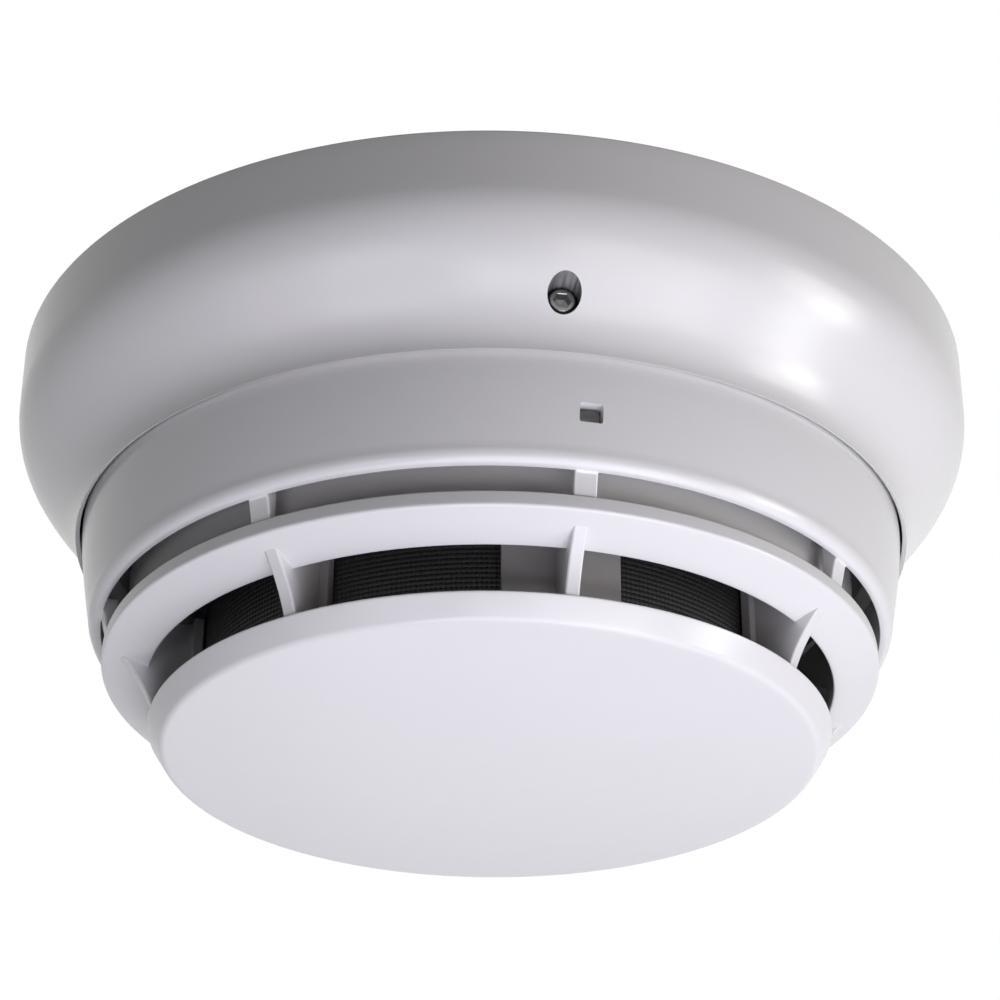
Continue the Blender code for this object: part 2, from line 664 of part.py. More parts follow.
def clamp_plate(name, parent):
    """Square plate with turned-down wings that presses the wire on its contact."""
    wing = CLAMP_THICKNESS / 2
    outer = CLAMP_SIZE / 2
    foot = CLAMP_DEPTH + CLAMP_WING
    inner = outer - CLAMP_THICKNESS
    plate_foot = CLAMP_DEPTH + CLAMP_THICKNESS
    half = [
        (outer - wing, CLAMP_DEPTH),
        (outer, CLAMP_DEPTH + wing),
        (outer, foot),
        (inner, foot),
        (inner, plate_foot),
    ]
    mirrored = [(-place, depth) for place, depth in half[::-1]]
    bm = bmesh.new()
    add_slab(bm, [*half, *mirrored], CLAMP_SIZE, turn(90.0))
    plate = solid(name, bm)
    bm = bmesh.new()
    add_prism(bm, circle(SCREW_HOLE_RADIUS), PLATE, foot + OVERLAP)
    combine(plate, "DIFFERENCE", bm)
    return finish(plate, ZINC, parent)


def terminal_screw(name, parent):
    """Pan-head screw with a crossed slot, its head facing down to the installer."""
    head_foot = SCREW_HEAD_DEPTH + SCREW_HEAD
    top = SCREW_SKIN + SEAT_GAP
    shank = [(0.0, top, 0.0), (SCREW_RADIUS, top, 0.0), (SCREW_RADIUS, SCREW_HEAD_DEPTH, 0.0)]
    head = [
        (SCREW_HEAD_RADIUS, SCREW_HEAD_DEPTH, 0.0),
        (SCREW_HEAD_RADIUS, head_foot, SCREW_HEAD / 2),
        (0.0, head_foot, 0.0),
    ]
    bm = bmesh.new()
    add_turned(bm, rounded([*shank, *head]), SMALL_FACETS)
    screw = solid(name, bm)
    arm = SCREW_HEAD_RADIUS + OVERLAP
    reach = SCREW_SLOT / 2
    cross = []
    for angle in spread(4):
        for corner in ((-reach, -arm), (reach, -arm), (reach, -reach)):
            cross.append(tuple(turn(angle) @ Vector((*corner, 0.0)))[:2])
    bm = bmesh.new()
    add_prism(bm, cross, head_foot - SCREW_SLOT_DEPTH, head_foot + OVERLAP)
    combine(screw, "DIFFERENCE", bm)
    return finish(screw, ZINC, parent)


def cover_skirt():
    """Skirt of the head, with its neck inside the base and its rounded foot."""
    step_depth = BASE_DEPTH - NECK_LEAD
    slope = NECK_STEP / 2
    foot_inside = FOOT_RADIUS - COVER_WALL
    flank = [BASE_DEPTH + (SKIRT_LENGTH - FOOT_ROUND) * step / 4 for step in range(5)]
    outside = [
        (NECK_RADIUS, NECK_DEPTH, 0.0),
        (NECK_RADIUS, step_depth - slope, 0.0),
        (SKIRT_RADIUS, step_depth, 0.0),
    ]
    outside += [(skirt_radius_at(depth), depth, 0.0) for depth in flank[:-1]]
    foot = [(FOOT_RADIUS, FOOT_DEPTH, FOOT_ROUND), (foot_inside, FOOT_DEPTH, RING_ROUND)]
    inside = [(skirt_radius_at(depth) - COVER_WALL, depth, 0.0) for depth in flank[3:0:-2]]
    inside += [(SKIRT_RADIUS - COVER_WALL, BASE_DEPTH, 0.0), (NECK_BORE, step_depth + slope, 0.0)]
    bm = bmesh.new()
    add_turned(bm, rounded([*outside, *foot, *inside, (NECK_BORE, NECK_DEPTH, 0.0)], 3))
    return solid("head_cover", bm)


def cover_ring():
    """Dished ring between the upper slot and the air inlet, with a web standing back on its shelf."""
    corners = [
        (RING_TOP_RADIUS, RING_TOP_DEPTH, 0.0),
        (RING_RADIUS, RING_DEPTH, RING_ROUND),
        (RING_BORE, RING_FACE_DEPTH, RING_ROUND),
        (RING_BORE, RING_FACE_DEPTH - RING_WALL, 0.0),
        (WEB_BORE, ring_face_at(WEB_BORE) - RING_WALL, 0.0),
        (WEB_BORE, WEB_TOP_DEPTH, 0.0),
        (WEB_RADIUS, WEB_TOP_DEPTH, 0.0),
        (WEB_RADIUS, RING_TOP_DEPTH, 0.0),
    ]
    bm = bmesh.new()
    add_turned(bm, rounded(corners))
    return bm


def cover_cap():
    """Domed cap with its conical band, and the rib inside it that carries the chamber."""
    dome = [CAP_FACE_RADIUS * step / 4 for step in range(4)]
    inner_edge = CAP_RADIUS - CAP_LAND
    inner_face = inner_edge - CAP_BAND_WIDTH
    rib_bore = SEAT_RIB_RADIUS - SEAT_RIB_WALL
    rib_top = FLOOR_FOOT + SEAT_GAP
    outside = [(radius, cap_depth_at(radius), 0.0) for radius in dome]
    band = [
        (CAP_FACE_RADIUS, CAP_EDGE_DEPTH, CAP_ROUND),
        (CAP_RADIUS, CAP_DEPTH, CAP_ROUND),
        (inner_edge, CAP_DEPTH, 0.0),
    ]
    inside = [
        (inner_face, cap_depth_at(inner_face) - CAP_WALL, 0.0),
        (SEAT_RIB_RADIUS, cap_depth_at(SEAT_RIB_RADIUS) - CAP_WALL, 0.0),
        (SEAT_RIB_RADIUS, rib_top, 0.0),
        (rib_bore, rib_top, 0.0),
        (rib_bore, cap_depth_at(rib_bore) - CAP_WALL, 0.0),
        (0.0, cap_depth_at(0.0) - CAP_WALL, 0.0),
    ]
    bm = bmesh.new()
    add_turned(bm, rounded([*outside, *band, *inside]))
    return bm


def fin_outline():
    """Fin from the cap up to the ring, its outer edge drawn in a little between them."""
    post_middle = (POST_BORE + POST_RADIUS) / 2
    top = ROOF_FOOT + OVERLAP
    sunk = CAP_DEPTH + CAP_WALL
    heel = (CAP_RADIUS - CAP_ROUND, CAP_DEPTH + CAP_ROUND / 2)
    reach = RING_BORE + FIN_REACH
    toe = (reach, ring_face_at(reach) - RING_WALL / 2)
    middle = Vector(heel).lerp(Vector(toe), 0.5) - Vector((FIN_HOLLOW, FIN_HOLLOW / 2))
    floor = cap_depth_at(post_middle) - CAP_WALL / 2
    edge = [(post_middle, floor), (CAP_FACE_RADIUS - CAP_ROUND, floor), (CAP_FACE_RADIUS, sunk), heel]
    root = [(WEB_MIDDLE, toe[1]), (WEB_MIDDLE, top), (post_middle, top)]
    return [*edge, tuple(middle), toe, *root]


def bridge_outline():
    """Short rib across the upper slot, from the skirt's foot to the ring's rim."""
    inner = RING_TOP_RADIUS - RING_WALL
    outer = FOOT_RADIUS - COVER_WALL / 2
    lip = FOOT_RADIUS - COVER_WALL
    top = FOOT_DEPTH - BRIDGE_RISE
    foot = FOOT_DEPTH + BRIDGE_DROP
    slope = RING_TOP_RADIUS + RING_SLOPE * (foot - RING_TOP_DEPTH) / RING_RISE
    return [
        (inner, top),
        (outer, top),
        (outer, FOOT_DEPTH - RING_ROUND),
        (lip, FOOT_DEPTH + RING_ROUND / 2),
        (slope - RING_ROUND, foot),
        (inner, foot),
    ]


def post_outline():
    """Section of the upright post at a fin's inner edge, beside the screen."""
    middle = (POST_BORE + POST_RADIUS) / 2
    top = ROOF_FOOT + OVERLAP / 2
    foot = cap_depth_at(middle) - CAP_WALL / 3
    return tube(POST_BORE, POST_RADIUS, top, foot)


def head_cover(parent):
    """One moulding of skirt, ring, fins and cap, open to the air all round."""
    cover = cover_skirt()
    bm = bmesh.new()
    for angle in spread(FIN_COUNT):
        add_slab(bm, bridge_outline(), BRIDGE_WIDTH, turn(angle))
    combine(cover, "UNION", bm)
    combine(cover, "UNION", cover_ring())
    bm = bmesh.new()
    for angle in spread(FIN_COUNT):
        add_slab(bm, fin_outline(), FIN_WIDTH, turn(angle))
    combine(cover, "UNION", bm)
    bm = bmesh.new()
    for step, angle in enumerate(spread(FIN_COUNT)):
        width = FRONT_POST_WIDTH if step == 0 else POST_WIDTH
        half = math.degrees(width / 2 / POST_RADIUS)
        add_arc(bm, post_outline(), angle - half, angle + half, 5 if step == 0 else 3)
    combine(cover, "UNION", bm)
    combine(cover, "UNION", cover_cap())

    bm = bmesh.new()
    wide = HOOK_WIDTH + 2 * SEAT_GAP
    top = HOOK_DEPTH - SEAT_GAP
    bottom = HOOK_FOOT + SEAT_GAP
    wall = COVER_WALL + 2 * OVERLAP
    for angle in spread(HOOK_COUNT, HOOK_START):
        place = outward(NECK_RADIUS - COVER_WALL / 2, 0.0, angle)
        add_prism(bm, rectangle(wide, wall), top, bottom, place)
    skirt_middle = skirt_radius_at(WINDOW_DEPTH) - COVER_WALL / 2
    window = (WINDOW_DEPTH - WINDOW_HEIGHT / 2, WINDOW_DEPTH + WINDOW_HEIGHT / 2)
    add_prism(bm, rectangle(WINDOW_WIDTH, wall), *window, outward(skirt_middle, 0.0, 0.0))
    notch = circle(LOCK_HOLE_RADIUS + LOCK_NOTCH_GAP, LOCK_FACETS)
    add_prism(bm, notch, -NECK_RADIUS - OVERLAP, OVERLAP - NECK_BORE, lock_line())
    combine(cover, "DIFFERENCE", bm)
    return finish(cover, WHITE, parent)


def head_chassis(parent):
    """Back of the head: a raised drum with bayonet tabs, a flange with snap hooks and board posts."""
    outside = [
        (0.0, DRUM_DEPTH),
        (DRUM_RADIUS, DRUM_DEPTH),
        (DRUM_RADIUS, FLANGE_DEPTH),
        (FLANGE_RADIUS, FLANGE_DEPTH),
        (FLANGE_RADIUS, FLANGE_FOOT),
    ]
    inside = [
        (DRUM_BORE, FLANGE_FOOT),
        (DRUM_BORE, DRUM_DEPTH + CHASSIS_WALL),
        (0.0, DRUM_DEPTH + CHASSIS_WALL),
    ]
    bm = bmesh.new()
    add_turned(bm, [*outside, *inside])
    chassis = solid("head_chassis", bm)

    bm = bmesh.new()
    tab_root = DRUM_RADIUS - OVERLAP
    tab_end = DRUM_RADIUS + TAB_REACH
    tab_foot = TAB_DEPTH + TAB_THICKNESS
    for angle in spread(BAYONET_COUNT, BAYONET_START):
        section = tube(tab_root, tab_end, TAB_DEPTH, tab_foot)
        add_arc(bm, section, angle - TAB_ANGLE / 2, angle + TAB_ANGLE / 2, 3)
    back = FLANGE_RADIUS - HOOK_WALL
    root = FLANGE_FOOT - OVERLAP
    face = FLANGE_RADIUS - SEAT_GAP
    hook = [(back, root), (face, root), (face, HOOK_DEPTH), (FLANGE_RADIUS + HOOK_CATCH, HOOK_DEPTH)]
    for angle in spread(HOOK_COUNT, HOOK_START):
        add_slab(bm, [*hook, (face, HOOK_FOOT), (back, HOOK_FOOT)], HOOK_WIDTH, turn(angle))
    for angle in spread(BOARD_SCREW_COUNT, BOARD_SCREW_START):
        place = outward(BOARD_SCREW_PLACE, 0.0, angle)
        add_prism(bm, circle(BOARD_POST_RADIUS), root, BOARD_DEPTH - SEAT_GAP, place)
    combine(chassis, "UNION", bm)

    bm = bmesh.new()
    for angle in spread(BOARD_SCREW_COUNT, BOARD_SCREW_START):
        place = outward(BOARD_SCREW_PLACE, 0.0, angle)
        grip = BOARD_DEPTH - BOARD_SCREW_GRIP - SEAT_GAP
        add_prism(bm, circle(BOARD_SCREW_RADIUS + SEAT_GAP), grip, BOARD_DEPTH + OVERLAP, place)
    for angle in spread(TERMINAL_COUNT, TERMINAL_START):
        place = outward(CONTACT_RADIUS, 0.0, angle)
        foot = DRUM_DEPTH + CHASSIS_WALL + OVERLAP
        add_prism(bm, circle(PAD_STEM_RADIUS + SEAT_GAP), PAD_DEPTH, foot, place)
    combine(chassis, "DIFFERENCE", bm)
    return finish(chassis, CHASSIS_WHITE, parent)


def contact_pad(name, parent, angle):
    """Flat contact on the drum, with a stem through the drum's wall."""
    inner = CONTACT_RADIUS - PAD_WIDTH / 2
    outer = CONTACT_RADIUS + PAD_WIDTH / 2
    foot = PAD_DEPTH + PAD_THICKNESS
    bm = bmesh.new()
    add_arc(bm, tube(inner, outer, PAD_DEPTH, foot), angle - PAD_LEAD_ANGLE, angle + PAD_TAIL_ANGLE, 3)
    pad = solid(name, bm)
    bm = bmesh.new()
    place = outward(CONTACT_RADIUS, 0.0, angle)
    add_prism(bm, circle(PAD_STEM_RADIUS), foot - PAD_THICKNESS / 2, foot + PAD_STEM_LENGTH, place)
    combine(pad, "UNION", bm)
    return finish(pad, BRASS, parent)


def circuit_board(parent):
    """Round board, drilled for its screws."""
    bm = bmesh.new()
    add_turned(bm, pin(BOARD_RADIUS, BOARD_DEPTH, BOARD_FOOT), LARGE_FACETS // 2)
    board = solid("circuit_board", bm)
    bm = bmesh.new()
    for angle in spread(BOARD_SCREW_COUNT, BOARD_SCREW_START):
        place = outward(BOARD_SCREW_PLACE, 0.0, angle)
        hole = circle(BOARD_SCREW_RADIUS + SEAT_GAP)
        add_prism(bm, hole, BOARD_DEPTH - OVERLAP, BOARD_FOOT + OVERLAP, place)
    combine(board, "DIFFERENCE", bm)
    return finish(board, BOARD_BLACK, parent)


def board_screw(name, parent, angle):
    """Screw that holds the board to a post of the chassis."""
    head = BOARD_FOOT + SEAT_GAP
    foot = head + BOARD_SCREW_HEAD
    top = BOARD_DEPTH - BOARD_SCREW_GRIP
    shank = [(0.0, top, 0.0), (BOARD_SCREW_RADIUS, top, 0.0), (BOARD_SCREW_RADIUS, head, 0.0)]
    cap = [
        (BOARD_SCREW_HEAD_RADIUS, head, 0.0),
        (BOARD_SCREW_HEAD_RADIUS, foot, BOARD_SCREW_HEAD / 2),
        (0.0, foot, 0.0),
    ]
    bm = bmesh.new()
    add_turned(bm, rounded([*shank, *cap]), SMALL_FACETS, outward(BOARD_SCREW_PLACE, 0.0, angle))
    return finish(solid(name, bm), ZINC, parent)


def board_block(name, parent, width, length, place):
    """Moulded chip body standing on the board."""
    foot = BOARD_DEPTH - SEAT_GAP
    bm = bmesh.new()
    add_prism(bm, rectangle(width, length), foot - CHIP_HEIGHT, foot, place)
    return finish(solid(name, bm), CHIP_BLACK, parent)


def capacitor(name, parent, angle):
    """Electrolytic can standing on the board, pinched near its foot."""
    foot = BOARD_DEPTH - SEAT_GAP
    top = foot - CAPACITOR_HEIGHT
    pinch = CAPACITOR_RADIUS / 10
    waist = foot - CAPACITOR_RADIUS / 2
    corners = [
        (0.0, top, 0.0),
        (CAPACITOR_RADIUS, top, pinch),
        (CAPACITOR_RADIUS, waist - 2 * pinch, 0.0),
        (CAPACITOR_RADIUS - pinch, waist, 0.0),
        (CAPACITOR_RADIUS, waist + 2 * pinch, 0.0),
        (CAPACITOR_RADIUS, foot, 0.0),
        (0.0, foot, 0.0),
    ]
    bm = bmesh.new()
    add_turned(bm, rounded(corners), SMALL_FACETS, outward(COMPONENT_RADIUS, 0.0, angle))
    return finish(solid(name, bm), CAN_BLUE, parent)


def choke(name, parent, angle):
    """Drum-core coil standing on the board."""
    foot = BOARD_DEPTH - SEAT_GAP
    top = foot - CHOKE_HEIGHT
    flange = CHOKE_HEIGHT / 5
    neck = CHOKE_RADIUS - CHOKE_WAIST
    outline = [
        (0.0, top),
        (CHOKE_RADIUS, top),
        (CHOKE_RADIUS, top + flange),
        (neck, top + flange),
        (neck, foot - flange),
        (CHOKE_RADIUS, foot - flange),
        (CHOKE_RADIUS, foot),
        (0.0, foot),
    ]
    bm = bmesh.new()
    add_turned(bm, outline, SMALL_FACETS, outward(COMPONENT_RADIUS, 0.0, angle))
    return finish(solid(name, bm), FERRITE, parent)


def status_led(parent):
    """Lamp under the board's front edge, over the leg of the light pipe."""
    place = outward(SKIRT_RADIUS - PIPE_INSET + PIPE_LEG / 2, 0.0, 0.0)
    bm = bmesh.new()
    add_prism(bm, rectangle(LED_LENGTH, PIPE_LEG), LED_DEPTH, LED_DEPTH + LED_HEIGHT, place)
    return finish(solid("status_led", bm), LAMP_RED, parent)


def light_pipe(parent):
    """Clear bar that turns the lamp's light outwards to the window."""
    inner = SKIRT_RADIUS - PIPE_INSET
    end = skirt_radius_at(WINDOW_DEPTH) - LENS_RECESS
    half = WINDOW_HEIGHT / 2 - SEAT_GAP
    top = WINDOW_DEPTH - half
    foot = WINDOW_DEPTH + half
    outline = [
        (inner, PIPE_DEPTH),
        (inner + PIPE_LEG, PIPE_DEPTH),
        (inner + PIPE_LEG, top),
        (end, top),
        (end, foot),
        (inner + PIPE_LEG / 2, foot),
        (inner, foot - PIPE_LEG / 2),
    ]
    bm = bmesh.new()
    add_slab(bm, outline, WINDOW_WIDTH - 2 * SEAT_GAP)
    return finish(solid("light_pipe", bm), CLEAR, parent)


def sensor_post(name, parent, angle):
    """Tube that guards a heat sensor's leads down to the air inlet."""
    top = BOARD_FOOT + SEAT_GAP
    foot = BEAD_DEPTH - SENSOR_BEAD_RADIUS - SENSOR_BARE_LEAD
    outline = tube(SENSOR_POST_BORE, SENSOR_POST_RADIUS, top, foot)
    bm = bmesh.new()
    add_turned(bm, outline, SMALL_FACETS, outward(SENSOR_PLACE, 0.0, angle))
    return finish(solid(name, bm), CHASSIS_WHITE, parent)


def thermistor(name, parent, angle):
    """Heat-sensing bead on its leads, in the middle of the air inlet."""
    top = BOARD_FOOT + SEAT_GAP
    bead = []
    for step in range(7):
        swing = math.pi * step / 6
        drop = SENSOR_BEAD_RADIUS * math.cos(swing)
        bead.append((SENSOR_BEAD_RADIUS * math.sin(swing), BEAD_DEPTH - drop))
    bead[0] = (SENSOR_LEAD_RADIUS, BEAD_DEPTH - SENSOR_BEAD_RADIUS)
    bead[-1] = (0.0, BEAD_DEPTH + SENSOR_BEAD_RADIUS)
    bm = bmesh.new()
    lead = [(0.0, top), (SENSOR_LEAD_RADIUS, top)]
    add_turned(bm, [*lead, *bead], SMALL_FACETS, outward(SENSOR_PLACE, 0.0, angle))
    return finish(solid(name, bm), BEAD_BLUE, parent)


def chamber_base(parent):
    """Black roof of the sensing chamber, on a column that stands on the board."""
    column_bore = CHAMBER_COLUMN_RADIUS - CHAMBER_COLUMN_WALL
    top = BOARD_FOOT + SEAT_GAP
    outline = [
        (0.0, ROOF_DEPTH),
        (column_bore, ROOF_DEPTH),
        (column_bore, top),
        (CHAMBER_COLUMN_RADIUS, top),
        (CHAMBER_COLUMN_RADIUS, ROOF_DEPTH),
        (ROOF_RADIUS, ROOF_DEPTH),
        (ROOF_RADIUS, ROOF_FOOT),
        (0.0, ROOF_FOOT),
    ]
    bm = bmesh.new()
    add_turned(bm, outline, LARGE_FACETS // 2)
    base = solid("chamber_base", bm)
    bm = bmesh.new()
    for angle in (OPTIC_ANGLE, OPTIC_ANGLE + OPTIC_SPREAD):
        place = outward(OPTIC_PLACE, 0.0, angle)
        add_prism(bm, circle(OPTIC_RADIUS + SEAT_GAP), ROOF_DEPTH - OVERLAP, ROOF_FOOT + OVERLAP, place)
    combine(base, "DIFFERENCE", bm)
    return finish(base, BLACK, parent)


def optic(name, parent, angle):
    """Domed lamp or light receiver that looks down into the chamber through its roof."""
    body = ROOF_DEPTH - OPTIC_RISE
    shoulder_depth = ROOF_FOOT + OPTIC_REACH
    top = BOARD_FOOT + SEAT_GAP
    lead = [(0.0, top), (OPTIC_LEAD_RADIUS, top), (OPTIC_LEAD_RADIUS, body)]
    dome = []
    for step in range(4):
        swing = math.pi / 2 * step / 3
        dome.append((OPTIC_RADIUS * math.cos(swing), shoulder_depth + OPTIC_RADIUS * math.sin(swing)))
    dome[-1] = (0.0, shoulder_depth + OPTIC_RADIUS)
    bm = bmesh.new()
    add_turned(bm, [*lead, (OPTIC_RADIUS, body), *dome], SMALL_FACETS, outward(OPTIC_PLACE, 0.0, angle))
    return finish(solid(name, bm), LAMP_TINT, parent)


def labyrinth(parent):
    """Black chamber floor with a ring of bent vanes that let air in and keep light out."""
    bm = bmesh.new()
    add_turned(bm, pin(LABYRINTH_RADIUS, FLOOR_DEPTH, FLOOR_FOOT), LARGE_FACETS // 2)
    floor = solid("labyrinth", bm)
    reach = VANE_LENGTH / 2
    vane = ribbon([(-reach, -VANE_BEND / 2), (0.0, VANE_BEND / 2), (reach, -VANE_BEND / 2)], VANE_WALL)
    place = LABYRINTH_RADIUS - reach
    bm = bmesh.new()
    for angle in spread(VANE_COUNT):
        stand = outward(place, 0.0, angle) @ turn(VANE_TURN)
        add_prism(bm, vane, ROOF_FOOT + SEAT_GAP, FLOOR_DEPTH + CHAMBER_FLOOR / 2, stand)
    combine(floor, "UNION", bm)
    return finish(floor, BLACK, parent)


def insect_screen(parent):
    """Fine dark sleeve round the chamber, held by the posts of the cover."""
    foot = cap_depth_at(SCREEN_RADIUS) - CAP_WALL - SEAT_GAP
    bm = bmesh.new()
    add_turned(bm, tube(SCREEN_BORE, SCREEN_RADIUS, ROOF_DEPTH, foot), LARGE_FACETS // 2)
    return finish(solid("insect_screen", bm), BLACK, parent)


def build():
    """Make every piece: the base with its terminals and locking screw, then the head."""
    for obj in list(bpy.data.objects):
        bpy.data.objects.remove(obj)
    mounting_base()
    lock_screw(axis_empty("lock_axis", outward(0.0, LOCK_DEPTH, LOCK_ANGLE)))
    for step, angle in enumerate(spread(TERMINAL_COUNT, TERMINAL_START), 1):
        terminal = axis_empty(f"terminal_axis_{step}", outward(TERMINAL_RADIUS, 0.0, angle))
        contact_spring(f"contact_spring_{step}", terminal)
        clamp_plate(f"clamp_plate_{step}", terminal)
        terminal_screw(f"terminal_screw_{step}", terminal)

    head = axis_empty("head_axis")
    head_cover(head)
    head_chassis(head)
    for step, angle in enumerate(spread(TERMINAL_COUNT, TERMINAL_START), 1):
        contact_pad(f"contact_pad_{step}", head, angle)
    circuit_board(head)
    for step, angle in enumerate(spread(BOARD_SCREW_COUNT, BOARD_SCREW_START), 1):
        board_screw(f"board_screw_{step}", head, angle)
    board_block("controller_chip", head, CHIP_SIZE, CHIP_SIZE, Matrix())
    line_chip_place = outward(COMPONENT_RADIUS, 0.0, LINE_CHIP_ANGLE)
    board_block("line_chip", head, LINE_CHIP_WIDTH, LINE_CHIP_LENGTH, line_chip_place)
    for step, angle in enumerate(CAPACITOR_ANGLES, 1):
        capacitor(f"capacitor_{step}", head, angle)
    choke("choke", head, CHOKE_ANGLE)
    status_led(head)
    light_pipe(head)
    for step, angle in enumerate(SENSOR_ANGLES, 1):
        sensor_post(f"sensor_post_{step}", head, angle)
        thermistor(f"thermistor_{step}", head, angle)
    chamber_base(head)
    optic("photo_emitter", head, OPTIC_ANGLE)
    optic("photo_receiver", head, OPTIC_ANGLE + OPTIC_SPREAD)
    labyrinth(head)
    insect_screen(head)


build()
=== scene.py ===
"""Looks of the ceiling heat detector: smooth mouldings, fine inner pieces, finishes, light and camera.

Shapes are worked out in millimetres as (radius, depth) outlines, with depth measured down from the
ceiling. Angles are in degrees about the detector's axis, turned from the front (-Y) towards +X.
"""

import json
import math

import bmesh
import bpy
import numpy as np
from mathutils import Matrix, Vector


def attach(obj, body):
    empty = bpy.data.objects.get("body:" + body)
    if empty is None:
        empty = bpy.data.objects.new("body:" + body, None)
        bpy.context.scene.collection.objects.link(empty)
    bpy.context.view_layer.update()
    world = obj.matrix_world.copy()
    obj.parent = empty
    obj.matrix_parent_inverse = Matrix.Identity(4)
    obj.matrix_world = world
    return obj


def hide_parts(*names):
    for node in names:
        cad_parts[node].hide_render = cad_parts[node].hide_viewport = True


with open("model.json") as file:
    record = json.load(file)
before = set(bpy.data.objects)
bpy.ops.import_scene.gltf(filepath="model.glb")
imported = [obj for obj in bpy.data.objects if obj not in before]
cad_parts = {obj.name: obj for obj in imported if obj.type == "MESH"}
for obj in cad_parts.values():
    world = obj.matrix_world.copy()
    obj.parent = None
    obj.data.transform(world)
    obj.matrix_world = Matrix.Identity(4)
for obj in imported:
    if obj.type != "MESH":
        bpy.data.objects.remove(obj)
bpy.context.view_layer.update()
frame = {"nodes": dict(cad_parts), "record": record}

MM = 0.001
ROUND_STEPS = 240  # sides of a large turned moulding
SMALL_STEPS = 48  # sides of a small turned piece
SIDE_STEP = 1.5  # longest straight step along an outline
SHARP_ANGLE = 32.0  # edges that turn more than this stay sharp
EASE_ANGLE = 40.0  # edges that turn more than this are rounded on a blocky piece
CUT_PAST = 1.0  # how far a cutting shape reaches past what it cuts
CUT_CORNER = 0.2

# Mounting base
BASE_RADIUS = 77.5
RIM_DEPTH = 9.4
LIP_RADIUS = 66.9
LIP_DEPTH = 30.0
LIP_BORE = 66.2
LIP_BEVEL = 0.6
SHOULDER_PULL = 9.1
LIP_PULL = 7.5
BASE_WALL = 2.4
PLATE = 2.5
CABLE_ENTRY = 19.0
BOX_SLOT = (30.0, 44.5, 4.6)  # near end, far end and width
BOX_SLOT_ANGLES = (0.0, 90.0, 180.0, 270.0)
FITTING_TOP = 2.0  # where the fittings start, inside the ceiling plate
COLLAR = (55.0, 57.0, 17.4)  # bore, radius and foot
LEDGE = (52.0, 55.8, 14.9, 16.9)  # bore, radius, top and foot
LEDGE_SPAN = (-7.9, 8.0)  # where a ledge starts and ends, from its bayonet angle
STOP = (52.3, 55.4, 12.6, 17.2)  # bore, radius, top and foot
STOP_SPAN = (7.7, 12.0)
BAYONET_ANGLES = (30.0, 150.0, 270.0)
TERMINAL_ANGLES = (45.0, 135.0, 225.0, 315.0)
TERMINAL_PLACE = 36.0
TERMINAL_BOSS = 9.5
BOSS_FOOT = 4.0
SCREW_HOLE = 2.3

# Locking screw
LOCK_ANGLE = -4.2
LOCK_DEPTH = 22.4
LOCK_HOLE = 2.4
LOCK_BOSS = 4.2
LOCK_BOSS_BORE = 2.42
LOCK_BOSS_FACE = 64.5
LOCK_BOSS_INSET = (1.2, 0.6)  # how far it stays inside the shoulder, at the rim and at the lip
LOCK_SCREW = (2.1, 64.8, 68.5)  # radius, inner end and outer end
LOCK_POINT = 1.0  # length of the cone point
LOCK_THREAD = 0.7
LOCK_THREAD_DEPTH = 0.24
LOCK_END = 0.35  # plain length past the thread
LOCK_CHAMFER = 0.3  # how much smaller in radius the end is
LOCK_RIM = 0.08  # bevel round the end
LOCK_SOCKET = 1.25
SOCKET_LEAD = (0.1, 0.12)  # width and depth of the bevel at the socket's mouth
SOCKET_DEPTH = (1.6, 1.9)  # where its sides end, and its floor

# Head cover
NECK_RADIUS = 63.9
NECK_DEPTH = 18.3
NECK_STEP = (27.0, 28.0, 29.0)  # where the neck ends, the skirt starts, and the neck ends inside
SKIRT_RADIUS = 65.8
SKIRT_TAPER = 2.2
SKIRT_BOW = 1.3
FOOT_DEPTH = 45.8
FOOT_ROUND = 1.2
FOOT_EASE = (1.6, 2.2)  # across and up, of the curve that turns the skirt's foot in
COVER_WALL = 2.0
HOOK_ANGLES = (67.5, 157.5, 247.5, 337.5)
HOOK_SLOT = (7.6, 3.6, 21.3, 24.3)  # width, length, top and foot
SCREW_NOTCH = (2.6, 60.0, 65.0)  # radius of the notch, and the radii that it runs between
RING_RADIUS = 61.2
RING_DEPTH = 51.6
RING_TOP = (61.1, 49.3)
WEB = (56.0, 57.7, 36.2)  # bore, radius and top of the ring's upright web
WEB_NOTCH = (5.0, 4.0, 40.7)  # width, length and foot of the web's notch for the light pipe
WEB_MIDDLE = 56.85
RING_BORE = 53.9
RING_FACE_DEPTH = 54.3
RING_WALL = 1.7
CAP_RADIUS = 53.5
CAP_DEPTH = 60.9
CAP_FACE = 51.1
CAP_EDGE_DEPTH = 64.6
CAP_CROWN = 1.5
CAP_WALL = 2.0
CAP_RIM = 1.6  # width of the edge that faces the ring
CAP_COVE = 2.4  # width of the slope from that edge down to the inside
SEAT_RIB = (28.0, 30.0, 60.3)  # bore, radius and top
FIN_ANGLES = np.arange(8) * 45.0
FIN_WIDTH = 2.1
FIN_REACH = 59.6
FIN_HOLLOW = 0.6
FIN_ROOT = 46.8
FIN_TOP = 46.2
FIN_SINK = (0.6, 0.3)  # how far the fin's heel goes into the cap, inwards and down
FIN_BED = 2.0  # how far down the cap's band it is bedded behind the heel
FIN_EASE = 0.28
BRIDGE_WIDTH = 3.4
BRIDGE_TOP = 43.6
BRIDGE_FOOT = 49.9
BRIDGE_BACK = 59.4
BRIDGE_SINK = 1.0  # how far it goes into the skirt's wall
BRIDGE_TOE = (0.5, 0.25)  # where it leaves the wall, above and below the skirt's foot
BRIDGE_SETBACK = 0.5  # from the ring's rim
BRIDGE_EASE = 0.25
POST = (46.0, 47.6)  # bore and radius
POST_TOP = 45.8
POST_WIDTH = 5.0
POST_EASE = 0.2
FRONT_POST_WIDTH = 17.8
WINDOW_DEPTH = 38.1
